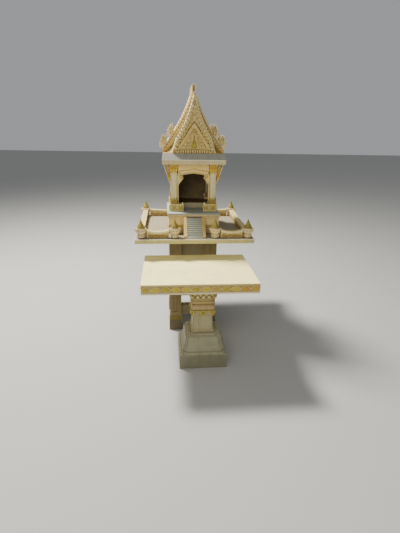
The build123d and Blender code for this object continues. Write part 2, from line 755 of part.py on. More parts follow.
# Finials
def flame(side, inner_x, outer_x, tip_x, rise, bulge):
    """Leaf-shaped finial on the lower slope, with two teeth on its outer edge."""
    inner = Vector(*on_lower_slope(inner_x))
    outer = Vector(*on_lower_slope(outer_x))
    tip = Vector(tip_x, inner.Y + rise)
    first = outer + (tip - outer) * 0.35 + Vector(bulge, 0)
    second = outer + (tip - outer) * 0.68 + Vector(bulge, 0)
    notch = Vector(FLAME_TOOTH, 0)
    with BuildSketch(front_plane(0), mode=Mode.PRIVATE) as outline:
        with BuildLine():
            belly = SagittaArc(outer, first, -FLAME_TOOTH / 2)
            lower_notch = Line(belly @ 1, first - notch)
            middle = SagittaArc(lower_notch @ 1, second, -FLAME_TOOTH / 2)
            upper_notch = Line(middle @ 1, second - notch)
            shoulder = SagittaArc(upper_notch @ 1, tip, -FLAME_TOOTH / 2)
            SagittaArc(shoulder @ 1, inner, -FLAME_TOOTH / 2)
            Line(inner, outer)
        make_face()
        if side < 0:
            mirror(about=Plane.YZ, mode=Mode.REPLACE)
    return outline.sketch


with BuildPart() as gable_flames:
    for end in (-1, 1):
        wall_face = HOUSE_Y + end * HALF_MAIN
        for side in (-1, 1):
            for shape in (UPPER_FLAME, LOWER_FLAME):
                slab_between(flame(side, *shape), wall_face, wall_face + end * BARGE_THICK)
keep(gable_flames, "gable_flames")


def round_topped(width, height, level, rim=0.0):
    """Outline of an upright slab with a round top, or of the recess inside its rim."""
    radius = width / 2 - rim
    spring = height - width / 2
    with BuildSketch(front_plane(0), mode=Mode.PRIVATE) as outline:
        with BuildLine():
            crown = CenterArc((0, level + spring), radius, 0, 180)
            Polyline(crown @ 1, (-radius, level + rim), (radius, level + rim), crown @ 0)
        make_face()
    return outline.sketch


with BuildPart() as ridge_finials:
    for end in (-1, 1):
        outer = HOUSE_Y + end * (HALF_MAIN + RIDGE_FINIAL_THICK / 2)
        inner = HOUSE_Y + end * (HALF_MAIN - RIDGE_FINIAL_THICK / 2)
        slab_between(round_topped(RIDGE_FINIAL_WIDTH, RIDGE_FINIAL_HEIGHT, ROOF_TOP), inner, outer)
        niche = round_topped(RIDGE_FINIAL_WIDTH, RIDGE_FINIAL_HEIGHT, ROOF_TOP, RIDGE_FINIAL_RIM)
        slab_between(niche, outer - end * RIDGE_FINIAL_RECESS, outer, mode=Mode.SUBTRACT)
        porch_face = HOUSE_Y + end * PORCH_FACE
        bud = round_topped(PORCH_FINIAL_WIDTH, PORCH_FINIAL_HEIGHT, PORCH_TOP)
        slab_between(bud, porch_face - end * PORCH_FINIAL_THICK, porch_face)
keep(ridge_finials, "ridge_finials")

# Offering table
with BuildPart() as table_top:
    table_base = TABLE_TOP - TABLE_THICK
    block(TABLE_WIDTH, TABLE_DEPTH, TABLE_THICK, 0, TABLE_Y, table_base)
    chamfer(table_top.edges().filter_by(Axis.Z), MOULDING)
    chamfer(table_top.faces().sort_by(Axis.Z)[-1].edges(), MOULDING / 2)
    band_level = TABLE_TOP - TABLE_LIP_HEIGHT - TABLE_BAND_HEIGHT
    with BuildSketch(Plane((0, TABLE_Y, band_level))) as groove:
        Rectangle(TABLE_WIDTH + TABLE_LIP, TABLE_DEPTH + TABLE_LIP)
        Rectangle(TABLE_WIDTH - TABLE_LIP, TABLE_DEPTH - TABLE_LIP, mode=Mode.SUBTRACT)
    extrude(groove.sketch, amount=TABLE_BAND_HEIGHT, mode=Mode.SUBTRACT)
keep(table_top, "table_top")

with BuildPart() as table_pillar_base:
    block(PILLAR_FOOT, PILLAR_FOOT, PILLAR_FOOT_HEIGHT, PILLAR_X, TABLE_Y)
    moulding(PILLAR_BLOCK, PILLAR_BLOCK_REDENT, PILLAR_X, TABLE_Y)
keep(table_pillar_base, "table_pillar_base")

PILLAR_PIECES = (
    ("table_pillar_shaft", PILLAR_SHAFT),
    ("table_pillar_neck", PILLAR_NECK),
)
for name, sections in PILLAR_PIECES:
    with BuildPart() as pillar_piece:
        moulding(sections, PILLAR_REDENT, PILLAR_X, TABLE_Y)
    keep(pillar_piece, name)

with BuildPart() as table_pillar_capital:
    capital_top = (table_base, PILLAR_CAPITAL[-1][1])
    moulding(PILLAR_CAPITAL + [capital_top], PILLAR_REDENT, PILLAR_X, TABLE_Y)
keep(table_pillar_capital, "table_pillar_capital")
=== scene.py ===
# %% [markdown]
# A painted cement spirit house with its offering table. The solid model is
# loaded first as a fixed frame: its sizes never change here. This lesson adds
# the paint, the weather, and the cast ornament that is too fine for the solids.

# %% Load the frame
import math

import bmesh
import bpy
from mathutils import Matrix, Vector


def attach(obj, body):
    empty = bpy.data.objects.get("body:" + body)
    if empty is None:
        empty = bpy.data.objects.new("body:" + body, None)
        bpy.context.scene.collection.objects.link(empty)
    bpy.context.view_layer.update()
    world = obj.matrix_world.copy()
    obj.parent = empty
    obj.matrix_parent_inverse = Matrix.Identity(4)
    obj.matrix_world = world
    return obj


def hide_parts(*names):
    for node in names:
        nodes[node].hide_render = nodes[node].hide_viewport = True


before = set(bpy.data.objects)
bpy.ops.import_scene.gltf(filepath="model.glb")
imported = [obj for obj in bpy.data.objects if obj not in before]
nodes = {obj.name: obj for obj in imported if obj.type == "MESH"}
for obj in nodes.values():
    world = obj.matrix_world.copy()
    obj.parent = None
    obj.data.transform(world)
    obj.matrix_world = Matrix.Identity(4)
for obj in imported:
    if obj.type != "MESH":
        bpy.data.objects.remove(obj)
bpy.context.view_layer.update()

# %% [markdown]
# Some places come back in many pieces: the middle of house, table and pillar,
# the lines of the columns and the posts. They are named once, in metres.

# %% Shared places
HOUSE_Y, TABLE_Y, PILLAR_X = 0.255, -0.395, 0.038
COLUMN_X, COLUMN_FRONT, COLUMN_BACK = 0.1495, 0.0925, 0.4175
POST_X, STAIR_POST_X, POST_FRONT, POST_BACK = 0.395, 0.150, -0.140, 0.650
print("middle of the house at y", HOUSE_Y, "and of the table at y", TABLE_Y)

# %% [markdown]
# The camera stands a little left of the middle, at the height of the eaves, and
# looks down at the table. Its place comes from the straight edges of the object.

# %% Camera
PHOTO_HEIGHT, FOCAL_PIXELS, SENSOR = 533, 379.43, 36
CAMERA_PLACE = (-0.2156, -2.859, 1.580)
YAW, PITCH, ROLL = 5.40, 19.43, -1.077
yaw, pitch, roll = (math.radians(a) for a in (YAW, PITCH, ROLL))
right = Vector((math.cos(yaw), -math.sin(yaw), 0))
ahead = Vector((math.sin(yaw) * math.cos(pitch), math.cos(yaw) * math.cos(pitch), -math.sin(pitch)))
above = right.cross(ahead)
camera_x = right * math.cos(roll) - above * math.sin(roll)
camera_y = right * math.sin(roll) + above * math.cos(roll)
bpy.ops.object.camera_add()
camera = bpy.context.object
camera.name = "photo_camera"
camera.data.sensor_fit = "VERTICAL"
camera.data.sensor_height = SENSOR
camera.data.lens = FOCAL_PIXELS / PHOTO_HEIGHT * SENSOR
turn = Matrix((camera_x, camera_y, -ahead)).transposed().to_4x4()
camera.matrix_world = Matrix.Translation(CAMERA_PLACE) @ turn
bpy.context.scene.camera = camera
print("lens", round(camera.data.lens, 2), "mm")

# %% [markdown]
# A pale floor and soft light. The main light is high, a little behind and to
# the left, so the tops and the left edges are bright and the fronts stay soft.

# %% Floor and lights
bpy.ops.mesh.primitive_plane_add(size=60)
floor = bpy.context.object
floor.name = "studio_floor"
floor_paint = bpy.data.materials.new("studio floor")
floor_paint.use_nodes = True
floor_shader = floor_paint.node_tree.nodes["Principled BSDF"].inputs
floor_shader["Base Color"].default_value = (0.42, 0.42, 0.41, 1)
floor_shader["Roughness"].default_value = 0.9
floor.data.materials.append(floor_paint)


def soft_light(name, place, aim, width, power, tint):
    """A square area light that looks at a point."""
    bpy.ops.object.light_add(type="AREA", location=place)
    lamp = bpy.context.object
    lamp.name = name
    lamp.data.size = width
    lamp.data.energy = power
    lamp.data.color = tint
    lamp.rotation_euler = (Vector(aim) - Vector(place)).to_track_quat("-Z", "Y").to_euler()


MIDDLE = (0, 0, 1.1)
soft_light("high_light", (-2.1, 1.5, 5.0), MIDDLE, 0.9, 780, (1.0, 0.97, 0.88))
soft_light("front_light", (-1.6, -5.2, 3.4), MIDDLE, 3.6, 120, (1.0, 0.96, 0.88))
world = bpy.data.worlds.new("studio_air")
bpy.context.scene.world = world
world.use_nodes = True
sky = world.node_tree.nodes["Background"].inputs
sky["Color"].default_value = (0.86, 0.88, 0.90, 1)
sky["Strength"].default_value = 0.4
print("floor and lights made")

# %% [markdown]
# Colours are written as a painter would read them off a chart, 0 to 255. The
# shader works with linear numbers, so they are turned just before use.


# %% Colour chart
def chart(colour):
    """A colour off the chart as linear numbers for a shader."""
    parts = [c / 255 for c in colour]
    return tuple(((c + 0.055) / 1.055) ** 2.4 if c > 0.04 else c / 12.92 for c in parts) + (1,)


CREAM, WARM_CREAM, WHITE = (220, 203, 148), (232, 206, 134), (238, 230, 200)
YELLOW, GOLD, OLIVE = (218, 190, 104), (188, 150, 56), (150, 132, 50)
ORANGE, BROWN, GREY = (186, 112, 34), (92, 62, 30), (134, 137, 124)
DIRT_AND_SHADE, SOOT = (92, 78, 50), (34, 27, 18)
print("cream in linear numbers", [round(c, 3) for c in chart(CREAM)])

# %% [markdown]
# Every finish here is old enamel on cast cement. Three effects come back in all
# of them, so each is built once as a node group: the sandy grain of the cement,
# the dirt and painted shade that gather in hollows with the wear on edges, and
# the rain streaks.


# %% Node helpers
def add(tree, kind, values=None, **settings):
    """Adds a node; values are numbers or the sockets that feed it."""
    made = tree.nodes.new("ShaderNode" + kind)
    for name, value in settings.items():
        setattr(made, name, value)
    for socket, value in (values or {}).items():
        if isinstance(value, bpy.types.NodeSocket):
            tree.links.new(value, made.inputs[socket])
        else:
            made.inputs[socket].default_value = value
    return made


def mix(tree, factor, first, second):
    """Mixes two colours and returns the result's socket."""
    made = add(tree, "Mix", {0: factor, 6: first, 7: second}, data_type="RGBA")
    return made.outputs[2]


def reach(tree, value, low, high, to_low=0.0, to_high=1.0):
    """Stretches a value from one range to another and clamps it."""
    made = add(tree, "MapRange", {0: value, 1: low, 2: high, 3: to_low, 4: to_high})
    return made.outputs[0]


def maths(tree, job, first, second):
    """One sum of two values."""
    return add(tree, "Math", {0: first, 1: second}, operation=job).outputs[0]


def new_group(name, inputs, outputs):
    """A shader node group with named inputs and outputs."""
    group = bpy.data.node_groups.new(name, "ShaderNodeTree")
    kinds = {"v": "NodeSocketVector", "f": "NodeSocketFloat"}
    for label, kind, value in inputs:
        socket = group.interface.new_socket(label, in_out="INPUT", socket_type=kinds[kind])
        if value is not None:
            socket.default_value = value
    for label, kind in outputs:
        group.interface.new_socket(label, in_out="OUTPUT", socket_type=kinds[kind])
    return group, group.nodes.new("NodeGroupInput").outputs, group.nodes.new("NodeGroupOutput").inputs


# %% [markdown]
# Grain: wide lumps from the mould, fine sand, and a few pin holes. It puts out
# a height for the bump and a tone that breaks the paint up.

# %% Cement grain
grain_group, given, result = new_group(
    "Cement grain",
    [("Vector", "v", None), ("Lumps", "f", 0.5), ("Sand", "f", 0.5)],
    [("Height", "f"), ("Tone", "f")],
)
lump = add(grain_group, "TexNoise", {"Vector": given["Vector"], "Scale": 26, "Detail": 4, "Roughness": 0.55})
sand = add(grain_group, "TexNoise", {"Vector": given["Vector"], "Scale": 380, "Detail": 2, "Roughness": 0.6})
hole = add(grain_group, "TexVoronoi", {"Vector": given["Vector"], "Scale": 95})
pinhole = reach(grain_group, hole.outputs["Distance"], 0.05, 0.16, -0.6, 0)
high = maths(grain_group, "MULTIPLY", lump.outputs[0], given["Lumps"])
low = maths(grain_group, "MULTIPLY", sand.outputs[0], given["Sand"])
bumps = maths(grain_group, "ADD", maths(grain_group, "ADD", high, low), pinhole)
grain_group.links.new(bumps, result["Height"])
tone = maths(grain_group, "ADD", lump.outputs[0], sand.outputs[0])
grain_group.links.new(reach(grain_group, tone, 0.7, 1.3), result["Tone"])
print("group made:", grain_group.name)

# %% [markdown]
# Hollows and edges: the shader asks how closed in a point is. Closed corners
# hold dirt and get painted shade, and sharp outer edges lose their paint first.

# %% Hollows and edges
corner_group, given, result = new_group(
    "Hollows and edges",
    [("Reach", "f", 0.012), ("Break Up", "f", 0.5), ("Edge Width", "f", 0.004)],
    [("Hollow", "f"), ("Edge", "f")],
)
closed = add(corner_group, "AmbientOcclusion", {"Distance": given["Reach"]}, samples=8)
edge = add(corner_group, "AmbientOcclusion", {"Distance": given["Edge Width"]},
           samples=8, inside=True, only_local=True)
# Closed points darken as dirt and as painted shade; thin outer edges pale as wear.
dark = reach(corner_group, closed.outputs["AO"], 0.9, 0.35)
worn = reach(corner_group, edge.outputs["AO"], 0.75, 0.35)
corner_group.links.new(maths(corner_group, "MULTIPLY", dark, given["Break Up"]), result["Hollow"])
corner_group.links.new(worn, result["Edge"])
print("group made:", corner_group.name)

# %% [markdown]
# Rain: long upright streaks, stronger where the noise is high, with wider
# blotches of old dust. It puts out two masks.

# %% Rain and dust
rain_group, given, result = new_group(
    "Rain and dust", [("Vector", "v", None)], [("Streak", "f"), ("Blotch", "f")],
)
tall = add(rain_group, "Mapping", {"Vector": given["Vector"], "Scale": (34, 34, 3)})
streak = add(rain_group, "TexNoise", {"Vector": tall.outputs[0], "Scale": 1.0, "Detail": 5, "Roughness": 0.6})
blotch = add(rain_group, "TexNoise", {"Vector": given["Vector"], "Scale": 7, "Detail": 6, "Roughness": 0.62})
rain_group.links.new(reach(rain_group, streak.outputs[0], 0.5, 0.78), result["Streak"])
rain_group.links.new(reach(rain_group, blotch.outputs[0], 0.45, 0.7), result["Blotch"])
print("group made:", rain_group.name)

# %% [markdown]
# One recipe makes every finish: the paint and a faded second coat, blotches,
# streaks, dirt and painted shade in hollows, and pale edges. Where the paint
# changes with height, as on the plinth's bands, a list of levels gives the
# colours from low to high.

# %% Paint recipe
BAND_SHAKE, GRAIN_DEPTH, CORE_HALF, ROOM_HALF_X = 0.0012, 0.0012, 0.0135, 0.1475
# The two tones of painted shade inside the room.
ROOM_WALL_SHADE, ROOM_SHADE = (136, 116, 76), (84, 70, 46)


def band_ramp(tree, height, levels):
    """A colour by height: levels are (metres, colour) from low to high."""
    bottom, top = levels[0][0], levels[-1][0] + 0.01
    place = reach(tree, height, bottom, top)
    ramp = add(tree, "ValToRGB", {0: place})
    ramp.color_ramp.interpolation = "CONSTANT"
    stops = ramp.color_ramp.elements
    stops[0].position, stops[0].color = 0, chart(levels[0][1])
    stops.remove(stops[1])
    for level, colour in levels[1:]:
        stop = stops.new((level - bottom) / (top - bottom))
        stop.color = chart(colour)
    return ramp.outputs[0]


def parapet_core(tree, part):
    """A mask of the thin panels inside the parapet, under their thick rims."""
    aside = maths(tree, "ABSOLUTE", part[0], 0)
    along = maths(tree, "ABSOLUTE", maths(tree, "SUBTRACT", part[1], HOUSE_Y), 0)
    farther = maths(tree, "MAXIMUM", aside, along)
    off_line = maths(tree, "ABSOLUTE", maths(tree, "SUBTRACT", farther, POST_X), 0)
    return maths(tree, "LESS_THAN", off_line, CORE_HALF)


def inside_room(tree, part):
    """A mask of the faces that look into the room, which are painted in shade."""
    behind = maths(tree, "GREATER_THAN", part[1], COLUMN_FRONT)
    deep = maths(tree, "MULTIPLY", behind, maths(tree, "LESS_THAN", part[1], COLUMN_BACK))
    across = maths(tree, "LESS_THAN", maths(tree, "ABSOLUTE", part[0], 0), ROOM_HALF_X)
    return maths(tree, "MULTIPLY", deep, across)


def painted(name, coat, second, hollow=DIRT_AND_SHADE, edge=WHITE, blotch=0.5, streak=0.3, dirt=0.8, worn=0.5,
            rough=0.62, reach_in=0.012, edge_width=0.004, levels=None, room=False, core=None):
    """Old paint on cast cement; room paints shade on the inside, core the parapet's thin panels."""
    material = bpy.data.materials.new(name)
    material.use_nodes = True
    tree = material.node_tree
    shader = tree.nodes["Principled BSDF"].inputs
    place = add(tree, "TexCoord").outputs["Object"]
    grain = add(tree, "Group", {"Vector": place}, node_tree=grain_group).outputs
    corner_in = {"Reach": reach_in, "Break Up": dirt, "Edge Width": edge_width}
    corner = add(tree, "Group", corner_in, node_tree=corner_group).outputs
    rain = add(tree, "Group", {"Vector": place}, node_tree=rain_group).outputs
    part = add(tree, "SeparateXYZ", {0: place}).outputs
    colour = chart(coat)
    if levels:
        shaky = reach(tree, grain["Tone"], 0, 1, -BAND_SHAKE, BAND_SHAKE)
        colour = band_ramp(tree, maths(tree, "ADD", part[2], shaky), levels)
    if core:
        colour = mix(tree, parapet_core(tree, part), colour, chart(core))
    colour = mix(tree, maths(tree, "MULTIPLY", rain["Blotch"], blotch), colour, chart(second))
    colour = mix(tree, maths(tree, "MULTIPLY", rain["Streak"], streak), colour, chart(DIRT_AND_SHADE))
    soft = reach(tree, grain["Tone"], 0, 1, 0.88, 1.06)
    colour = add(tree, "VectorMath", {0: colour, 1: soft}, operation="MULTIPLY").outputs[0]
    colour = mix(tree, maths(tree, "MULTIPLY", corner["Edge"], worn), colour, chart(edge))
    # Hollows take the hollow colour: dirt, and painted shade where shade falls.
    colour = mix(tree, corner["Hollow"], colour, chart(hollow))
    # Inside the room the paint is darkened as painted shade.
    if room:
        inside = inside_room(tree, part)
        colour = mix(tree, inside, colour, mix(tree, rain["Blotch"], chart(ROOM_WALL_SHADE), chart(ROOM_SHADE)))
    tree.links.new(colour, shader["Base Color"])
    gloss = reach(tree, grain["Tone"], 0, 1, rough - 0.08, rough + 0.14)
    tree.links.new(gloss, shader["Roughness"])
    relief = add(tree, "Bump", {"Height": grain["Height"], "Strength": 0.5, "Distance": GRAIN_DEPTH})
    tree.links.new(relief.outputs[0], shader["Normal"])
    return material


def fine(name, coat, second, hollow=BROWN, reach_in=0.005, edge_width=0.0012, **values):
    """A finish for small ornament, whose hollows and edges are narrow."""
    return painted(name, coat, second, hollow, reach_in=reach_in, edge_width=edge_width, **values)


print("recipe ready, with", len(bpy.data.node_groups), "groups")

# %% [markdown]
# The large solids come first: cream walls, pale tops, a weathered grey eave, and
# the stand and pillar, painted darker as the shade under table and platform,
# darkest towards their feet.

# %% Finishes of walls and stands
wall_cream = painted("wall cream", WARM_CREAM, YELLOW, OLIVE, blotch=0.35, streak=0.12, room=True)
column_cream = painted("column cream", (222, 210, 164), (202, 190, 144), OLIVE, blotch=0.4)
parapet_cream = painted("parapet cream", (220, 208, 158), (202, 186, 124), BROWN, blotch=0.4, worn=0.8,
                        core=(196, 174, 110))
bright_white = painted("bright white", (226, 212, 170), CREAM, GOLD, blotch=0.4, streak=0.15, dirt=0.6)
roof_yellow = painted("roof yellow", (218, 194, 114), (198, 170, 88), GOLD, streak=0.35, worn=0.8)
# The stand and the pillar are painted darker as the shade under the table and platform; the lowest levels,
# their feet, are painted darkest.
stand_beige = painted("stand beige", (136, 124, 90), (116, 108, 80), streak=0.4)
pillar_beige = painted("pillar beige", (172, 164, 126), (160, 142, 92), streak=0.3)
pillar_pale = painted("pillar pale", CREAM, (140, 134, 104), streak=0.35,
                      levels=[(0, (124, 122, 96)), (0.104, (156, 153, 124))])
neck_bands = painted(
    "neck bands", CREAM, (166, 142, 96), BROWN, streak=0.3,
    levels=[(0.36, (174, 164, 112)), (0.4075, (150, 138, 56)), (0.4165, (188, 162, 116)),
            (0.449, (136, 116, 62)), (0.4575, (186, 166, 108))],
)
capital_bands = painted(
    "capital bands", CREAM, (150, 124, 74), BROWN, streak=0.2,
    levels=[(0.49, (186, 166, 112)), (0.5035, (84, 56, 28)), (0.5445, (186, 170, 118))],
)
plinth_bands = painted(
    "plinth bands", CREAM, YELLOW, blotch=0.35,
    levels=[(0.84, (192, 172, 118)), (0.8955, (180, 156, 62)), (0.9095, (240, 214, 140)),
            (0.9625, (228, 204, 130))],
)
# The dark foot level of the legs is painted shade.
leg_bands = painted(
    "leg bands", CREAM, (130, 114, 74), streak=0.4,
    levels=[(0, (100, 92, 68)), (0.085, (122, 108, 44)), (0.128, (136, 120, 80))],
)
# The white level at the platform's top lip is a painted highlight.
platform_bands = painted(
    "platform bands", CREAM, GREY, blotch=0.45, rough=0.72,
    levels=[(0.81, (190, 180, 122)), (0.8385, WHITE), (0.8430, (142, 132, 106))],
)
# The white level at the eave's top edge is a painted highlight.
eave_bands = painted("eave bands", CREAM, GREY, blotch=0.4,
                     levels=[(1.35, (204, 186, 142)), (1.3855, WHITE), (1.3895, GREY)])
skirt_bands = painted("skirt bands", GREY, (156, 150, 116), OLIVE, blotch=0.3, worn=0.1,
                      levels=[(1.39, (146, 146, 134)), (1.4335, (162, 130, 50))])
# The inner floor's top is painted brown as the room's shade.
floor_bands = painted("inner floor", CREAM, GREY, levels=[(1.0, (176, 166, 130)), (1.0430, BROWN)])
table_bands = painted(
    "table bands", CREAM, (216, 212, 164), OLIVE, blotch=0.4, streak=0.05,
    levels=[(0.62, (226, 210, 160)), (0.6405, (172, 148, 68)), (0.6825, (196, 172, 112)),
            (0.6925, (255, 240, 164))],
)
stringer_gold = painted("stringer gold", (196, 166, 88), (160, 146, 78), OLIVE, worn=0.4, streak=0.3)
# The stair's top riser, under the ledge, is painted dark brown as its shadow.
stair_grey = painted("stair grey", GREY, (166, 172, 160), (118, 118, 100), blotch=0.6, streak=0.1, dirt=0.4,
                     rough=0.75, levels=[(0.84, (156, 162, 146)), (0.9665, (78, 64, 42))])
ledge_bands = painted("ledge bands", GREY, (146, 148, 132), (72, 70, 56), blotch=0.5, streak=0.1, rough=0.75,
                      levels=[(0.97, (210, 186, 124)), (0.990, (150, 154, 142))])
strut_bands = painted("strut bands", CREAM, (170, 140, 84), BROWN, worn=0.9, blotch=0.5,
                      levels=[(1.20, (190, 132, 40)), (1.29, (180, 148, 82)), (1.32, (186, 170, 122))])
print("finishes made:", len([m for m in bpy.data.materials if m.node_tree]))

# %% [markdown]
# The ornament has golds, olives and creams of its own. Its hollows are brown,
# as paint and as painted shade, and only the very edges are worn pale.

# %% Finishes of the ornament
leaf_gold = fine("leaf gold", GOLD, (206, 174, 84), worn=0.5, rough=0.5)
leaf_olive = fine("leaf olive", OLIVE, GOLD, worn=0.4, rough=0.5)
leaf_yellow = fine("leaf yellow", (204, 178, 40), (206, 188, 84), worn=0.2, blotch=0.3, rough=0.5)
gable_gold = fine("gable gold", (212, 188, 118), GOLD, worn=0.6)
slope_gold = fine("slope gold", (210, 188, 118), (196, 170, 92), (140, 114, 52), worn=0.5)
relief_cream = fine("relief cream", (206, 186, 122), YELLOW, worn=0.6)
band_olive = fine("band olive", (178, 160, 38), GOLD, worn=0.3)
band_orange = fine("band orange", (206, 146, 40), GOLD, worn=0.2)
ribbon_cream = fine("ribbon cream", (222, 196, 140), CREAM, GOLD, worn=0.3)
lotus_cream = fine("lotus cream", (212, 194, 148), (184, 166, 122), (128, 104, 64), worn=0.8,
                   blotch=0.4, streak=0.15, dirt=0.9, reach_in=0.008, edge_width=0.002)
cap_olive = fine("cap olive", (138, 126, 40), (120, 102, 36), edge=(206, 196, 120), worn=0.5, rough=0.5)
bead_white = fine("bead white", (244, 234, 200), CREAM, GOLD, worn=0.3, blotch=0.3)
petal_olive = fine("petal olive", (182, 166, 76), (198, 180, 106), (92, 78, 30), worn=0.6, reach_in=0.008)
petal_cream = fine("petal cream", (216, 200, 138), (200, 184, 112), (84, 56, 26), worn=0.7, dirt=1.0,
                   reach_in=0.008)
# The panel edge moulding is painted dark brown as a shadow line.
edge_shadow_brown = fine("edge shadow brown", (132, 106, 62), (146, 120, 72), worn=0.15)
rib_olive = fine("rib olive", (146, 122, 60), (168, 144, 78), worn=0.3)
tendril_gold = fine("tendril gold", (176, 138, 62), (190, 160, 84), (110, 70, 34), worn=0.5)
rail_gold = fine("rail gold", (224, 204, 126), (196, 176, 98), OLIVE, edge=WARM_CREAM, worn=0.7)
capital_gold = fine(
    "capital gold", (206, 176, 72), (190, 150, 60), edge=WARM_CREAM,
    levels=[(1.27, (214, 198, 132)), (1.300, (208, 178, 72)), (1.318, (212, 150, 58)),
            (1.331, (208, 178, 72))],
)
barge_bands = fine("barge bands", CREAM, (206, 184, 120), (176, 150, 86), worn=0.7, blotch=0.4,
                   levels=[(1.43, (214, 166, 88)), (1.484, (222, 204, 146))])
# The dark brown level behind the panel's foot blocks is a painted shadow.
panel_bands = fine("panel bands", CREAM, GOLD, worn=0.6,
                   levels=[(1.43, (96, 70, 36)), (1.4585, (216, 192, 122))])
line_brown = fine("line brown", (176, 104, 50), GOLD, worn=0.2)
curl_brown = fine("curl brown", (150, 96, 42), ORANGE, SOOT, worn=0.4)
print("finishes made:", len([m for m in bpy.data.materials if m.node_tree]))

# %% [markdown]
# Each solid now gets its finish. Some finishes serve several solids.

# %% Paint the solids
FINISH_OF = {
    leg_bands: ["stand_legs"],
    stand_beige: ["stand_stretchers", "stand_apron"],
    platform_bands: ["platform_slab"],
    floor_bands: ["inner_floor"],
    eave_bands: ["eave_slab"],
    skirt_bands: ["roof_skirt"],
    bright_white: ["ridge_crest", "gable_flames", "ridge_finials"],
    barge_bands: ["main_bargeboard_front", "main_bargeboard_back"],
    lotus_cream: ["parapet_posts"],
    cap_olive: ["post_caps"],
    leaf_olive: ["lotus_bases"],
    parapet_cream: ["parapet_front", "parapet_back", "parapet_left", "parapet_right"],
    stringer_gold: ["stair_stringers"],
    wall_cream: ["front_wall", "back_wall", "left_wall", "right_wall"],
    plinth_bands: ["house_plinth"],
    ledge_bands: ["plinth_ledge"],
    stair_grey: ["stair_flight"],
    rail_gold: ["porch_rails", "back_pedestals"],
    capital_gold: ["column_capitals"],
    column_cream: ["columns_front", "columns_back"],
    strut_bands: ["eave_struts"],
    roof_yellow: ["main_roof", "front_porch_roof", "back_porch_roof"],
    gable_gold: ["porch_bargeboard_front", "porch_bargeboard_back"],
    panel_bands: ["tympanum_front", "tympanum_back"],
    table_bands: ["table_top"],
    pillar_pale: ["table_pillar_base"],
    pillar_beige: ["table_pillar_shaft"],
    neck_bands: ["table_pillar_neck"],
    capital_bands: ["table_pillar_capital"],
}
for finish, names in FINISH_OF.items():
    for name in names:
        nodes[name].data.materials.clear()
        nodes[name].data.materials.append(finish)
print("solids painted:", sum(len(names) for names in FINISH_OF.values()), "of", len(nodes))

# %% [markdown]
# The cast ornament comes next. Every piece starts as a primitive, is shaped in
# edit mode, copied to its places, joined, and handed over to the frame.


# %% Modelling helpers
def start():
    """Nothing selected, as each new piece begins."""
    bpy.ops.object.select_all(action="DESELECT")


def pick(kind, test):
    """In edit mode, selects only the points (VERT) or faces (FACE) that pass a test."""
    bpy.ops.mesh.select_mode(type=kind)
    bpy.ops.mesh.select_all(action="DESELECT")
    mesh = bpy.context.object.data
    shape = bmesh.from_edit_mesh(mesh)
    for part in shape.verts if kind == "VERT" else shape.faces:
        part.select_set(test(part))
    shape.select_flush_mode()
    bmesh.update_edit_mesh(mesh)


def push(x=0.0, y=0.0, z=0.0):
    bpy.ops.transform.translate(value=(x, y, z))


def size(x=1.0, y=1.0, z=1.0):
    bpy.ops.transform.resize(value=(x, y, z), center_override=(0, 0, 0))


def spread(master, places, name):
    """Copies the master to each place, joins the copies and removes the master."""
    start()
    for place in places:
        copy = master.copy()
        copy.data = master.data.copy()
        copy.data.transform(place)
        if place.is_negative:
            copy.data.flip_normals()
        bpy.context.collection.objects.link(copy)
        copy.select_set(True)
        bpy.context.view_layer.objects.active = copy
    if len(places) > 1:
        bpy.ops.object.join()
    bpy.data.objects.remove(master)
    piece = bpy.context.object
    piece.name = name
    return piece


def hand_over(piece, finish, angle=40):
    """Gives a piece its finish, soft shading and its body."""
    start()
    piece.select_set(True)
    bpy.context.view_layer.objects.active = piece
    piece.data.materials.clear()
    piece.data.materials.append(finish)
    bpy.ops.object.shade_smooth_by_angle(angle=math.radians(angle))
    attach(piece, "root")
    print(piece.name, len(piece.data.polygons), "faces")
    return piece


def dress(master, places, name, finish, angle=40):
    """Sets a master out and hands the joined piece over."""
    return hand_over(spread(master, places, name), finish, angle)


def merge(pieces, name):
    """Joins several finished meshes into one."""
    start()
    for piece in pieces:
        piece.select_set(True)
    bpy.context.view_layer.objects.active = pieces[0]
    bpy.ops.object.join()
    pieces[0].name = name
    return pieces[0]


def spot(x, y, z):
    return Matrix.Translation((x, y, z))


def scaled(x, y, z):
    return Matrix.Diagonal((x, y, z, 1))


def spun(degrees, axis="Z"):
    return Matrix.Rotation(math.radians(degrees), 4, axis)


def each(bases, places):
    """Every place set out from every base, one base after another."""
    return [base @ place for base in bases for place in places]


def sides_of(x, y, angles=(0, 90, 180, 270)):
    """Places on the upright line at x, y, one turned to each side."""
    return [spot(x, y, 0) @ spun(angle) for angle in angles]


MIRRORS = [scaled(1, 1, 1), scaled(-1, 1, 1)]
print("helpers ready")

# %% [markdown]
# A carved leaf is the letter that this whole style is written in. It starts as
# a flat twelve-sided cylinder, its top point is drawn up to a tip, its face is
# inset and raised, and the middle rises to a rib. It is one unit wide and high.


# %% Leaf, boss and bead
def disc(corners, depth):
    """A flat cylinder that faces -Y, one unit across, open in edit mode."""
    start()
    bpy.ops.mesh.primitive_cylinder_add(vertices=corners, radius=0.5, depth=depth, rotation=(math.pi / 2, 0, 0))
    bpy.ops.object.transform_apply(location=True, rotation=True, scale=True)
    bpy.ops.object.mode_set(mode="EDIT")


def step_front(*steps):
    """Insets the front face and moves it along Y, once for each pair of values."""
    pick("FACE", lambda face: face.normal.y < -0.9)
    for inset, move in steps:
        bpy.ops.mesh.inset(thickness=inset, depth=0)
        push(y=move)


def shaped():
    """Leaves edit mode and returns the piece."""
    bpy.ops.object.mode_set(mode="OBJECT")
    return bpy.context.object


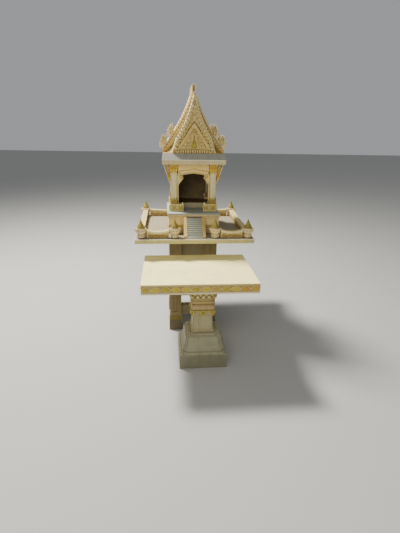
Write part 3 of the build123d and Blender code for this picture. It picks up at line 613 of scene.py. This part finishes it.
def leaf(tip=0.45, belly=0.25):
    """A leaf that stands on z = 0 and faces -Y: one unit wide, deep and high."""
    disc(12, 0.5)
    pick("VERT", lambda point: point.co.z > 0.49)
    push(z=tip)
    pick("VERT", lambda point: point.co.z < -0.3)
    size(x=0.75)
    step_front((0.11, -belly), (0.07, belly * 0.3))
    bpy.ops.mesh.poke(offset=belly * 0.8)
    bpy.ops.mesh.select_all(action="SELECT")
    push(y=-0.25, z=0.5)
    size(z=1 / (1 + tip))
    return shaped()


def boss(corners=8, rise=0.35):
    """A faceted knob that faces -Y: one unit across."""
    disc(corners, 0.4)
    step_front((0.12, -rise * 0.7), (0.14, -rise * 0.3))
    return shaped()


def bead():
    """A small round drop, one unit across, of few faces."""
    start()
    bpy.ops.mesh.primitive_uv_sphere_add(segments=8, ring_count=5, radius=0.5)
    bpy.context.object.data.transform(scaled(1, 0.8, 1))
    return bpy.context.object


def line_of(points, thick, thin=1.0, smooth=True):
    """A cast line through points: a curve with a round section, made a mesh."""
    start()
    bpy.ops.curve.primitive_nurbs_path_add()
    line = bpy.context.object.data
    line.splines.clear()
    run = line.splines.new("NURBS" if smooth else "POLY")
    run.points.add(len(points) - 1)
    for number, (point, place) in enumerate(zip(run.points, points)):
        point.co = (*place, 1)
        point.radius = 1 + (thin - 1) * number / (len(points) - 1)
    if smooth:
        run.order_u = 3
        run.use_endpoint_u = True
    run.resolution_u = 3
    line.bevel_depth = thick
    line.bevel_resolution = 1
    line.use_fill_caps = True
    bpy.ops.object.convert(target="MESH")
    return bpy.context.object


def scroll_points(turns=1.2, tail=0.9, steps=14):
    """A curl in the plane of XZ: a spiral that unrolls into a tail along +X."""
    curl = []
    for step in range(steps + 1):
        angle = math.tau * turns * (1 - step / steps)
        out = 0.1 + 0.4 * step / steps
        curl.append((-math.sin(angle) * out, 0, 0.5 - math.cos(angle) * out))
    return curl + [(tail * 0.5, 0, 0.02), (tail, 0, 0.12)]


for kind, trial in (("leaf", leaf()), ("boss", boss()), ("bead", bead())):
    print(kind, len(trial.data.polygons), "faces")
    bpy.data.objects.remove(trial)

# %% [markdown]
# The edge of the table top carries a band of lozenges with crossing ribbons.
# One lozenge is modelled, an eight-sided knob stretched wide, and it is set out
# twelve times on the long edges and ten times on the short ones.

# %% Table edge band
TABLE_HALF_X, TABLE_HALF_Y, BAND_Z, GROOVE = 0.375, 0.300, 0.6615, 0.002
LONG_COUNT, SHORT_COUNT = 12, 10
EDGES = ((LONG_COUNT, TABLE_HALF_X, TABLE_HALF_Y, (0, 180)),
         (SHORT_COUNT, TABLE_HALF_Y, TABLE_HALF_X, (90, 270)))
LOZENGE = scaled(0.056, 0.007, 0.033)
HEART = spot(0, -0.0040, 0) @ scaled(0.018, 0.004, 0.009)
BAND_COLOURS = ((band_olive, (0, 2, 5, 8)), (leaf_yellow, (1, 3, 4, 6, 9)), (leaf_gold, (7, 11)),
                (band_orange, (10,)))
band_spots = [spot(0, TABLE_Y, 0) @ spun(turn) @ spot(2 * half / count * (n + 0.5) - half, GROOVE - out, BAND_Z)
              for count, half, out, turns in EDGES for turn in turns for n in range(count)]
for number, (finish, turns) in enumerate(BAND_COLOURS):
    places = [place @ LOZENGE for n, place in enumerate(band_spots) if n % LONG_COUNT in turns]
    dress(boss(8, 0.5), places, f"table_lozenges_{number + 1}", finish)
dress(boss(6, 0.4), each(band_spots, [HEART]), "table_lozenge_hearts", leaf_yellow)

# %% [markdown]
# Between the lozenges two ribbons cross. Each is a wavy curve with a round
# section; the second one is the first one upside down.

# %% Table ribbons
RIBBON, RIBBON_SWING, RIBBON_SUNK, RIBBON_END = 0.0030, 0.0185, 0.0015, 0.002
WAVE_STEPS = ((0.2, 0.6), (0.5, 1), (0.8, 0.6))
ribbons = []
for count, half, out, turns in EDGES:
    pitch = 2 * half / count
    swings = [spot(0, TABLE_Y, 0) @ spun(turn) @ spot(0, RIBBON_SUNK - out, BAND_Z) for turn in turns]
    for flip in (1, -1):
        wave = [(-half + pitch * (n + part), 0, flip * (-1) ** n * lift * RIBBON_SWING)
                for n in range(count) for part, lift in WAVE_STEPS]
        wave = [(RIBBON_END - half, 0, 0)] + wave + [(half - RIBBON_END, 0, 0)]
        ribbons.append(spread(line_of(wave, RIBBON), swings, "ribbon"))
hand_over(merge(ribbons, "table_ribbons"), ribbon_cream, 60)

# %% [markdown]
# On the pillar's neck gold petals hang at the corners and along each side, the
# large ones with a darker heart. The one at the front left has faded to ochre.
# A cord of the same gold runs round above them.

# %% Pillar petals
PILLAR_SIDES = sides_of(PILLAR_X, TABLE_Y)
PILLAR_CORNERS = sides_of(PILLAR_X, TABLE_Y, (45, 135, 225, 315))
PETAL_TOP, HEART_TOP, CORD, CORD_Z = 0.405, 0.398, 0.0024, 0.4045
DOWN = spun(4, "X") @ spun(180, "Y")
hang = [spot(x, -0.0795, PETAL_TOP) @ DOWN @ scaled(wide, 0.008, tall)
        for x, wide, tall in ((-0.034, 0.022, 0.016), (0, 0.046, 0.040), (0.034, 0.022, 0.016))]
corner = each(PILLAR_CORNERS, [spot(0, -0.105, PETAL_TOP) @ DOWN @ scaled(0.044, 0.009, 0.042)])
dress(leaf(), each(PILLAR_SIDES, hang) + corner[1:], "pillar_hanging_petals", petal_olive)
dress(leaf(), corner[:1], "pillar_ochre_petal", leaf_gold)
hearts = each(PILLAR_SIDES, [spot(0, -0.0835, HEART_TOP) @ DOWN @ scaled(0.024, 0.006, 0.022)])
hearts += each(PILLAR_CORNERS[1:], [spot(0, -0.1095, HEART_TOP) @ DOWN @ scaled(0.022, 0.006, 0.024)])
dress(leaf(), hearts, "pillar_petal_hearts", cap_olive)
cord = [(0.0715, -0.0825, 0), (0.0715, -0.0745, 0), (0.0775, -0.0745, 0)]
cord = [(-x, y, z) for x, y, z in reversed(cord)] + cord
cords = each(PILLAR_SIDES, [spot(0, 0, CORD_Z)])
dress(line_of(cord, CORD, smooth=False), cords, "pillar_gold_line", petal_olive)

# %% [markdown]
# Under the table top runs a band of wide petals, dark between, with a broad
# leaf at each corner.

# %% Capital petals
PETAL_PITCH = 0.040
upright = [spot((n - 1) * PETAL_PITCH, -0.0815, 0.502) @ spun(5, "X") @ scaled(0.029, 0.009, 0.032)
           for n in range(3)]
hang = [spot((n - 1.5) * PETAL_PITCH, -0.0850, 0.548) @ spun(5, "X") @ spun(180, "Y")
        @ scaled(0.033, 0.008, 0.036) for n in range(4)]
petals = each(PILLAR_SIDES, upright) + each(PILLAR_SIDES, hang)
dress(leaf(0.6), petals, "pillar_top_petals", petal_cream)
lobes = [spot(x, -0.1065, 0.500) @ spun(9, "X") @ spun(turn, "Y") @ scaled(wide, 0.012, tall)
         for x, turn, wide, tall in ((0, 0, 0.026, 0.050), (-0.006, -24, 0.018, 0.036),
                                     (0.006, 24, 0.018, 0.036))]
dress(leaf(0.8), each(PILLAR_CORNERS, lobes), "pillar_corner_leaves", petal_olive)

# %% [markdown]
# The gables are drawn by one concave line each: an arc from the ridge to the
# knee and a straight foot. Ornament is set out along these lines, so a helper
# walks down the line and gives spots with their slope.


# %% Gable lines
def gable_line(top, knee, foot, sag, steps=16):
    """Points down one side of a gable: a hollow arc to the knee, then straight."""
    top, knee, foot = Vector(top), Vector(knee), Vector(foot)
    run = knee - top
    inward = Vector((run.y, -run.x)).normalized()
    shares = [n / steps for n in range(steps + 1)]
    return [top + run * t + inward * 4 * sag * t * (1 - t) for t in shares] + [foot]


def set_out(line, pitch, inset=0.0, skip=0.0, stop=1.0):
    """Spots along a line as x, z and slope in degrees, moved in from it by inset."""
    spots, walked, due = [], 0.0, skip + pitch / 2
    for here, there in zip(line, line[1:]):
        step = there - here
        inward = Vector((step.y, -step.x)).normalized()
        while due <= min(walked + step.length, stop):
            at = here + step * ((due - walked) / step.length) + inward * inset
            spots.append((at.x, at.y, math.degrees(math.atan2(step.y, step.x))))
            due += pitch
        walked += step.length
    return spots


def up_slope(x, y, z, slope, lean=0.0):
    """A spot whose up axis points up the slope towards the ridge."""
    return spot(x, y, z) @ spun(-90 - slope + lean, "Y")


def chain(line, face, pitch, inset, skip, lean, shape):
    """Leaves in a row that climb a gable line and lean off its slope."""
    return [up_slope(x, face, z, slope, lean) @ shape for x, z, slope in set_out(line, pitch, inset, skip)]


MAIN_LINE = gable_line((0.014, 1.850), (0.148, 1.584), (0.236, 1.462), 0.011)
PORCH_LINE = gable_line((0.005, 1.828), (0.130, 1.535), (0.162, 1.437), 0.016)
MAIN_FACE, PORCH_FACE, PANEL_FACE, FIELD_FACE = 0.151, 0.055, 0.059, 0.063
GABLE_ENDS = each(sides_of(0, HOUSE_Y, (0, 180)), [spot(0, -HOUSE_Y, 0)])
GABLES = each(GABLE_ENDS, MIRRORS)
print("main slope spots at 50 mm:", len(set_out(MAIN_LINE, 0.05)))

# %% [markdown]
# White drops run down the edge of both bargeboards. They catch the light and
# draw the two bright lines of the roof.

# %% Bargeboard drops
DROP, DROP_PITCH, TOP_SKIP = scaled(0.0085, 0.008, 0.0085), 0.0105, 0.02
drops = [spot(x, face, z) @ DROP
         for line, face, inset in ((MAIN_LINE, MAIN_FACE, 0.004), (PORCH_LINE, PORCH_FACE, 0.003))
         for x, z, slope in set_out(line, DROP_PITCH, inset, TOP_SKIP)]
dress(bead(), each(GABLES, drops), "bargeboard_drops", bead_white, 80)

# %% [markdown]
# The faces of the bargeboards are carved with a chain of leaves that climb to
# the ridge. The chain on the porch has a row of small leaves inside it.

# %% Bargeboard leaves
leaves = chain(MAIN_LINE, MAIN_FACE, 0.024, 0.026, 0.05, 12, scaled(0.024, 0.010, 0.030))
dress(leaf(0.7), each(GABLES, leaves), "main_bargeboard_leaves", slope_gold)
leaves = chain(PORCH_LINE, PORCH_FACE, 0.0285, 0.019, 0.07, 14, scaled(0.026, 0.010, 0.036))
leaves += chain(PORCH_LINE, PORCH_FACE, 0.0285, 0.033, 0.115, -18, scaled(0.015, 0.008, 0.020))
dress(leaf(0.7), each(GABLES, leaves), "porch_bargeboard_leaves", relief_cream)

# %% [markdown]
# Fine ribs follow the bargeboards, one inside each row of drops, and another
# frames the sunk field. A moulding painted dark as a shadow line runs round the
# whole panel and flares out at its feet.

# %% Bargeboard ribs
RIB, RIB_PITCH, EDGE_MOULDING = 0.0022, 0.02, 0.0040
FIELD_CORNERS = ((0, 1.610), (0.076, 1.5015), (0.104, 1.4615), (0, 1.4615))
PANEL_EDGE = ((0, 1.6575), (0.053, 1.581), (0.090, 1.5275), (0.106, 1.505), (0.122, 1.4835), (0.140, 1.465),
              (0.153, 1.455))
ribs = []
for line, face, inset in ((MAIN_LINE, MAIN_FACE, 0.012), (PORCH_LINE, PORCH_FACE, 0.010)):
    run = [(x, face, z) for x, z, slope in set_out(line, RIB_PITCH, inset, TOP_SKIP)]
    ribs.append(spread(line_of(run, RIB), GABLES, "rib"))
field = [(x, FIELD_FACE, z) for x, z in FIELD_CORNERS]
ribs.append(spread(line_of(field, RIB, smooth=False), GABLES, "rib"))
hand_over(merge(ribs, "gable_ribs"), rib_olive, angle=70)
edge = [(x, PORCH_FACE + 0.0015, z) for x, z in PANEL_EDGE]
dress(line_of(edge, EDGE_MOULDING), GABLES, "panel_edges", edge_shadow_brown, angle=70)

# %% [markdown]
# In the middle of the panel a spire stands in an open bud, on a thin bar. Above
# it a small arch carries a stud. Curling tendrils and a pyramid of small flame
# leaves fill the corners.

# %% Panel relief
flames = [spot(0.024 + n * 0.025 + row * 0.001, FIELD_FACE, level) @ spun(10 - 3 * n, "Y")
          @ scaled(0.020, 0.010, 0.030)
          for row, (count, level) in enumerate(((3, 1.467), (2, 1.491), (1, 1.516))) for n in range(count)]
dress(leaf(0.8), each(GABLES, flames), "panel_flames", gable_gold)
spire = spot(0, FIELD_FACE, 1.492) @ scaled(0.024, 0.010, 0.072)
dress(leaf(0.9), each(GABLE_ENDS, [spire]), "panel_spires", leaf_olive)
bud = spot(0, FIELD_FACE - 0.003, 1.474) @ scaled(0.036, 0.012, 0.036)
dress(leaf(0.7), each(GABLE_ENDS, [bud]), "panel_buds", band_olive)
arch = [spot(x, FIELD_FACE - 0.001, z) @ spun(turn, "Y") @ scaled(0.011, 0.009, tall)
        for x, z, turn, tall in ((0.002, 1.572, 58, 0.030), (0.024, 1.560, 78, 0.018),
                                 (0.006, 1.592, 40, 0.018))]
dress(leaf(0.6), each(GABLES, arch), "panel_arches", gable_gold)
stud = spot(0, FIELD_FACE, 1.588) @ scaled(0.018, 0.012, 0.018)
bar = spot(0, FIELD_FACE, 1.4695) @ scaled(0.052, 0.012, 0.006)
dress(boss(8), each(GABLE_ENDS, [stud, bar]), "panel_studs", gable_gold)
curls = [spot(x, FIELD_FACE - 0.001, z) @ spun(turn, "Y") @ scaled(wide, wide * 0.5, wide)
         for x, z, wide, turn in ((0.046, 1.496, 0.024, -30), (0.030, 1.540, 0.020, -40),
                                  (0.078, 1.474, 0.020, -12), (0.020, 1.565, 0.014, -50))]
dress(line_of(scroll_points(), 0.085, 0.5), each(GABLES, curls), "panel_curls", leaf_gold, angle=70)

# %% [markdown]
# A row of pointed blocks closes the panel at its foot; the strip behind them is
# painted dark brown as their shadow.

# %% Panel foot
BLOCK_PITCH = 0.0176
diamond = scaled(0.0122, 0.010, 0.0200) @ spun(45, "Y") @ scaled(1.4, 1, 1.4)
blocks = [spot((n + 0.5) * BLOCK_PITCH, PANEL_FACE - 0.002, 1.448) @ diamond for n in range(8)]
dress(boss(4, 0.3), each(GABLES, blocks), "panel_blocks", gable_gold, angle=30)

# %% [markdown]
# Each flame at the gable's ends gets a raised leaf on both faces, barbs that fan
# out from its middle, and small white teeth along its outer edge.

# %% Flame leaves
FLAME_THICK = 0.014
FLAMES = ((0.1655, 1.561, 7, 0.024, 0.076), (0.2175, 1.490, -1, 0.027, 0.070))
BARBS = ((0.004, 42, 0.020), (0.018, 40, 0.024), (0.033, 36, 0.024), (0.048, 30, 0.020))
TEETH = ((0.189, 1.556, 20), (0.191, 1.572, 10), (0.187, 1.590, 0), (0.181, 1.606, -8), (0.170, 1.626, -14),
         (0.242, 1.476, 22), (0.245, 1.492, 12), (0.245, 1.510, 0), (0.240, 1.528, -10), (0.232, 1.548, -16))
veins = [spot(x, MAIN_FACE, z) @ spun(-lean, "Y") @ scaled(wide, 0.012, tall)
         for x, z, lean, wide, tall in FLAMES]
veins += [spot(x, MAIN_FACE + FLAME_THICK, z) @ spun(180) @ spun(lean, "Y") @ scaled(wide, 0.010, tall)
          for x, z, lean, wide, tall in FLAMES]
dress(leaf(0.8, 0.3), each(GABLES, veins), "flame_leaves", gable_gold)
stems = [spot(x, MAIN_FACE - 0.0035, z) @ spun(-lean, "Y") for x, z, lean, wide, tall in FLAMES]
barbs = [spot(side * 0.002, 0, climb) @ spun(side * tilt, "Y") @ scaled(0.008, 0.006, tall)
         for climb, tilt, tall in BARBS for side in (-1, 1)]
dress(leaf(0.9, 0.3), each(GABLES, each(stems, barbs)), "flame_barbs", relief_cream)
teeth = [spot(x, MAIN_FACE + FLAME_THICK / 2, z - 0.008) @ spun(lean + 24, "Y") @ scaled(0.010, 0.014, 0.020)
         for x, z, lean in TEETH]
dress(leaf(0.8, 0.2), each(GABLES, teeth), "flame_teeth", bead_white)

# %% [markdown]
# The roof slopes are cast as rows of small scale tiles. One tile is a flattened
# six-sided knob; its up axis is laid along the slope, its back on the roof.

# %% Roof tiles
TILE_WIDE, ROW_PITCH = 0.0150, 0.0145
TILE = spun(90) @ spun(-9, "X") @ scaled(TILE_WIDE, 0.0045, 0.0200)


def tile_rows(line, low, high, stop):
    """Tiles in rows that break joint, on one slope between two values of y."""
    count = round((high - low) / TILE_WIDE)
    pitch = (high - low) / count
    return [up_slope(x, low + pitch * (n + (1 + row % 2) / 2), z, slope) @ TILE
            for row, (x, z, slope) in enumerate(set_out(line, ROW_PITCH, -0.001, 0.0, stop))
            for n in range(count - row % 2)]


for name, gables, rows in (("main_roof_tiles", MIRRORS, tile_rows(MAIN_LINE, 0.166, 0.344, 0.44)),
                           ("porch_roof_tiles", GABLES, tile_rows(PORCH_LINE, 0.070, 0.150, 0.41))):
    dress(boss(6, 0.5), each(gables, rows), name, roof_yellow, 30)

# %% [markdown]
# Along the ridge stands a row of little leaves, and each finial has an olive
# leaf in its niche.

# %% Ridge leaves and finials
ridge = [spot(0, 0.191 + n * 0.016, 1.8655) @ spun(turn) @ scaled(0.014, 0.008, 0.024)
         for n in range(9) for turn in (90, 270)]
dress(leaf(0.7), ridge, "ridge_leaves", bead_white)
niche = each(GABLE_ENDS, [spot(0, 0.1575, 1.8565) @ scaled(0.017, 0.010, 0.050)])
niche += each(GABLE_ENDS, [spot(0, PORCH_FACE, 1.830) @ scaled(0.010, 0.006, 0.021)])
dress(leaf(0.5), niche, "finial_leaves", rib_olive)

# %% [markdown]
# The posts are lotus flowers on a stalk. A core is drawn up from a disc, level by
# level, and two tiers of petals lean on it.


# %% Turned pieces
def turned(profile, sides=16):
    """A round piece drawn up from a disc: the profile lists (radius, height)."""
    start()
    first, ground = profile[0]
    bpy.ops.mesh.primitive_circle_add(vertices=sides, radius=first, fill_type="NGON", location=(0, 0, ground))
    bpy.ops.object.transform_apply(location=True)
    bpy.ops.object.mode_set(mode="EDIT")
    bpy.ops.mesh.select_all(action="SELECT")
    for (here, low), (there, high) in zip(profile, profile[1:]):
        bpy.ops.mesh.extrude_region_move(TRANSFORM_OT_translate={"value": (0, 0, high - low)})
        size(there / here, there / here)
    bpy.ops.mesh.select_all(action="SELECT")
    bpy.ops.mesh.normals_make_consistent(inside=False)
    return shaped()


POSTS = [spot(x, POST_FRONT, 0) for x in (-POST_X, -STAIR_POST_X, STAIR_POST_X, POST_X)]
POSTS += [spot(x, POST_BACK, 0) for x in (-POST_X, POST_X)]
print("posts to stand:", len(POSTS))

# %% [markdown]
# The lotus posts stand in place of the plain posts of the frame.

# %% Lotus posts
CORE = ((0.0245, 0.845), (0.025, 0.849), (0.0285, 0.864), (0.027, 0.869), (0.0225, 0.875), (0.0235, 0.882),
        (0.0365, 0.901), (0.0395, 0.910), (0.0365, 0.918))
cores = spread(turned(CORE, 20), POSTS, "post_cores")
around = each(POSTS, [spun(36 * n) for n in range(10)])
petals = each(around, [spot(0, -0.0245, 0.880) @ spun(27, "X") @ scaled(0.025, 0.008, 0.041)])
petals += each(around, [spun(18) @ spot(0, -0.0235, 0.847) @ spun(12, "X") @ scaled(0.018, 0.006, 0.026)])
petals = spread(leaf(0.5), petals, "petals")
lotus = hand_over(merge([cores, petals], "lotus_posts"), lotus_cream)
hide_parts("parapet_posts")

# %% [markdown]
# The caps are slim cones with ribs of leaves. A dark brown ring sits under
# each.

# %% Post caps
CONE = ((0.0275, 0.918), (0.0285, 0.921), (0.0205, 0.938), (0.0135, 0.953), (0.0075, 0.968), (0.0012, 0.986))
RING = ((0.0295, 0.9165), (0.0310, 0.9185), (0.0295, 0.9215))
cones = spread(turned(CONE), POSTS, "cap_cones")
ribs = [spun(45 * n) @ spot(0, -0.0268, 0.919) @ spun(-25, "X") @ scaled(0.018, 0.005, 0.040)
        for n in range(8)]
ribs = spread(leaf(0.9), each(POSTS, ribs), "cap_ribs")
caps = hand_over(merge([cones, ribs], "lotus_caps"), cap_olive)
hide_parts("post_caps")
dress(turned(RING), POSTS, "cap_rings", curl_brown)

# %% [markdown]
# The parapet's panels carry a tendril that swings from end to end, with a leaf
# in each bend. Both faces of every wall have it.

# %% Parapet tendrils
TENDRIL, TENDRIL_Z, TENDRIL_SWING, TENDRIL_ENDS, BEND = 0.0019, 0.8625, 0.0085, 0.012, 0.054
WALL_HALF, FRONT_WALL_X = 0.012, (POST_X + STAIR_POST_X) / 2
SHORT_WALLS = [spot(x, POST_FRONT + out * WALL_HALF, 0) @ spun(90 * out + 90)
               for x in (-FRONT_WALL_X, FRONT_WALL_X) for out in (-1, 1)]
LONG_WALLS = [spot(0, POST_BACK + out * WALL_HALF, 0) @ spun(90 * out + 90) for out in (1, -1)]
LONG_WALLS += [spot(x + out * WALL_HALF, HOUSE_Y, 0) @ spun(90 * out)
               for x in (-POST_X, POST_X) for out in (-1, 1)]
for name, walls, length in (("parapet_front_tendrils", SHORT_WALLS, 0.163),
                            ("parapet_long_tendrils", LONG_WALLS, 0.708)):
    bends = 2 * round(length / BEND)
    step = (length - TENDRIL_ENDS) / bends
    line = [((n / 4 - bends / 2) * step, 0, TENDRIL_Z + TENDRIL_SWING * math.sin(n * math.pi / 4))
            for n in range(4 * bends + 1)]
    leaves = [spot((n + 0.5 - bends / 2) * step, 0, TENDRIL_Z + up * 0.006) @ spun(90 + 90 * up, "Y")
              @ scaled(0.017, 0.007, 0.015) for n, up in enumerate([-1, 1] * (bends // 2))]
    parts = [spread(line_of(line, TENDRIL), walls, "swing"), spread(leaf(0.5), each(walls, leaves), "leaves")]
    hand_over(merge(parts, name), tendril_gold, angle=60)

# %% [markdown]
# Each step of the stair has a pale nosing, worn bright by the rain.

# %% Stair nosings
STEPS, TREAD, RISER = 10, 0.0133, 0.0132
nosings = [spot(0, -0.1485 + TREAD * n, 0.8577 + RISER * n) for n in range(STEPS)]
nosing = line_of([(-0.057, 0, 0), (-0.02, 0, 0.0003), (0.02, 0, 0), (0.057, 0, 0.0003)], 0.0015)
dress(nosing, nosings, "stair_nosings", stair_grey)

# %% [markdown]
# The columns: a ring of pointed leaves stands round each foot, and three leaves
# a side climb the bell of each capital.

# %% Column leaves
COLUMN_SIDES = [side for x in (-COLUMN_X, COLUMN_X) for y in (COLUMN_FRONT, COLUMN_BACK)
                for side in sides_of(x, y)]
foot = [spot(x, -0.0215, 1.072) @ spun(3, "X") @ scaled(0.017, 0.008, 0.034 if x else 0.040)
        for x in (-0.0165, 0, 0.0165)]
ring = [spot(x, -0.0262, 1.058) @ scaled(0.018, 0.006, 0.013) for x in (-0.018, 0, 0.018)]
dress(leaf(0.9), each(COLUMN_SIDES, foot) + each(COLUMN_SIDES, ring), "column_foot_leaves", leaf_olive)
bell = [spot(x, -0.0225, 1.298) @ spun(8.5, "X") @ scaled(0.018, 0.007, 0.046) for x in (-0.0175, 0, 0.0175)]
dress(leaf(0.6), each(COLUMN_SIDES, bell), "capital_leaves", leaf_yellow)

# %% [markdown]
# The porch rails and the pedestals have sunk panels: a fine frame round a
# lozenge with four small leaves.

# %% Rail panels
PANEL_LOW, PANEL_MIDDLE, PANEL_HIGH, PANEL_FRAME = 1.012, 1.030, 1.048, 0.0017
pedestals = [side @ spot(0, -0.0335, 0) for y, outer in ((COLUMN_FRONT, 0), (COLUMN_BACK, 180))
             for left in (-1, 1) for side in sides_of(left * COLUMN_X, y, (outer, 90 * left))]
rails = [spot(x, 0.053, 0) for x in (-0.098, 0.098)]
middle = spot(0, 0, PANEL_MIDDLE)
rays = [middle @ spun(angle, "Y") @ spot(0, 0, 0.008) @ scaled(0.010, 0.006, 0.016)
        for angle in (55, 125, 235, 305)]
for name, places, half in (("pedestal_panels", pedestals, 0.025), ("rail_panels", rails, 0.013)):
    rim = [(-half, 0, PANEL_LOW), (half, 0, PANEL_LOW), (half, 0, PANEL_HIGH), (-half, 0, PANEL_HIGH)]
    rim = line_of(rim + rim[:1], PANEL_FRAME, smooth=False)
    parts = [spread(rim, places, "panel_frame"),
             spread(boss(4), each(places, [middle @ scaled(0.016, 0.008, 0.022)]), "panel_heart"),
             spread(leaf(0.6), each(places, rays), "panel_rays")]
    hand_over(merge(parts, name), petal_olive, angle=60)

# %% [markdown]
# The doorway is edged with a half-round moulding that steps in under the head.
# Above it a fine scrolled line rises to a point in the middle, and a small
# flower stands at each knee.

# %% Doorway moulding
WALL_FACE = 0.0725
HALF_DOOR = ((0.1175, 1.086), (0.1175, 1.203), (0.0815, 1.2525), (0.0865, 1.2800), (0.0, 1.2930))
RISE = ((-0.104, 1.286), (-0.108, 1.298), (-0.098, 1.309), (-0.078, 1.306), (-0.058, 1.312), (-0.036, 1.309),
        (-0.020, 1.318), (-0.006, 1.317), (0.003, 1.328), (0.012, 1.317), (0.026, 1.317), (0.042, 1.308),
        (0.064, 1.311), (0.084, 1.304), (0.102, 1.308), (0.114, 1.297), (0.109, 1.285))
edge = [(x, 0.073, z) for x, z in HALF_DOOR] + [(-x, 0.073, z) for x, z in HALF_DOOR[-2::-1]]
hand_over(line_of(edge, 0.0046, smooth=False), relief_cream, 30).name = "doorway_moulding"
ends = [spot(-0.104, WALL_FACE, 1.288) @ spun(150, "Y") @ scaled(-0.013, 0.008, 0.013),
        spot(0.109, WALL_FACE, 1.287) @ spun(-150, "Y") @ scaled(0.013, 0.008, 0.013)]
curl = spread(line_of(scroll_points(), 0.10, 0.5), ends, "line_ends")
rise = line_of([(x, WALL_FACE, z) for x, z in RISE], 0.0017)
hand_over(merge([rise, curl], "doorway_scrolls"), line_brown, angle=60)
knees = [spot(side * 0.097, WALL_FACE, 1.262) @ spun(side * turn, "Y") @ scaled(0.010, 0.006, 0.017)
         for side in (-1, 1) for turn in (-20, 60, 140, 220, 300)]
dress(leaf(0.8), knees, "doorway_flowers", petal_olive)

# %% [markdown]
# Each strut under the eave is a long leaf: a pale rib down its outer edge, a
# carved blade in the middle and two curls where it meets the eave.

# %% Strut carving
STRUT_EDGE = ((0.1785, 1.214), (0.190, 1.248), (0.206, 1.292), (0.219, 1.330), (0.2265, 1.354))
STRUT_HALF = 0.009
struts = [spot(0, y, 0) @ flip @ spot(0, -STRUT_HALF, 0) for y in (COLUMN_FRONT, COLUMN_BACK)
          for flip in MIRRORS]
struts += each(struts, [spot(0, 2 * STRUT_HALF, 0) @ scaled(1, -1, 1)])
edge = line_of([(x, 0, z) for x, z in STRUT_EDGE], 0.0026)
dress(edge, struts, "strut_edges", bead_white, 60)
blade = spot(0.1815, 0, 1.226) @ spun(17, "Y") @ scaled(0.016, 0.007, 0.082)
dress(leaf(0.9), each(struts, [blade]), "strut_blades", leaf_yellow)
curls = [spot(0.208, 0, 1.330) @ spun(turn, "Y") @ scaled(wide, 0.011, wide)
         for turn, wide in ((20, 0.017), (200, 0.013))]
dress(line_of(scroll_points(), 0.10, 0.5), each(struts, curls), "strut_curls", curl_brown, angle=60)

# %% [markdown]
# The sunk panels of the legs hold a flat olive strip with a hollow down its
# middle, which narrows towards the foot.

# %% Leg strips
LEG_X, LEG_FRONT, LEG_BACK = 0.140, 0.062, 0.448
start()
bpy.ops.mesh.primitive_cube_add(size=1)
strip = bpy.context.object
strip.data.transform(spot(0, 0.0005, 0.385) @ scaled(0.034, 0.006, 0.436))
bpy.ops.object.mode_set(mode="EDIT")
step_front((0.005, -0.0012), (0.008, 0.0016))
pick("VERT", lambda point: point.co.z < 0.2)
size(x=0.25)
legs = [side @ spot(0, -0.0415, 0)
        for x in (-LEG_X, LEG_X) for y in (LEG_FRONT, LEG_BACK) for side in sides_of(x, y)]
dress(shaped(), legs, "leg_strips", rib_olive, angle=30)
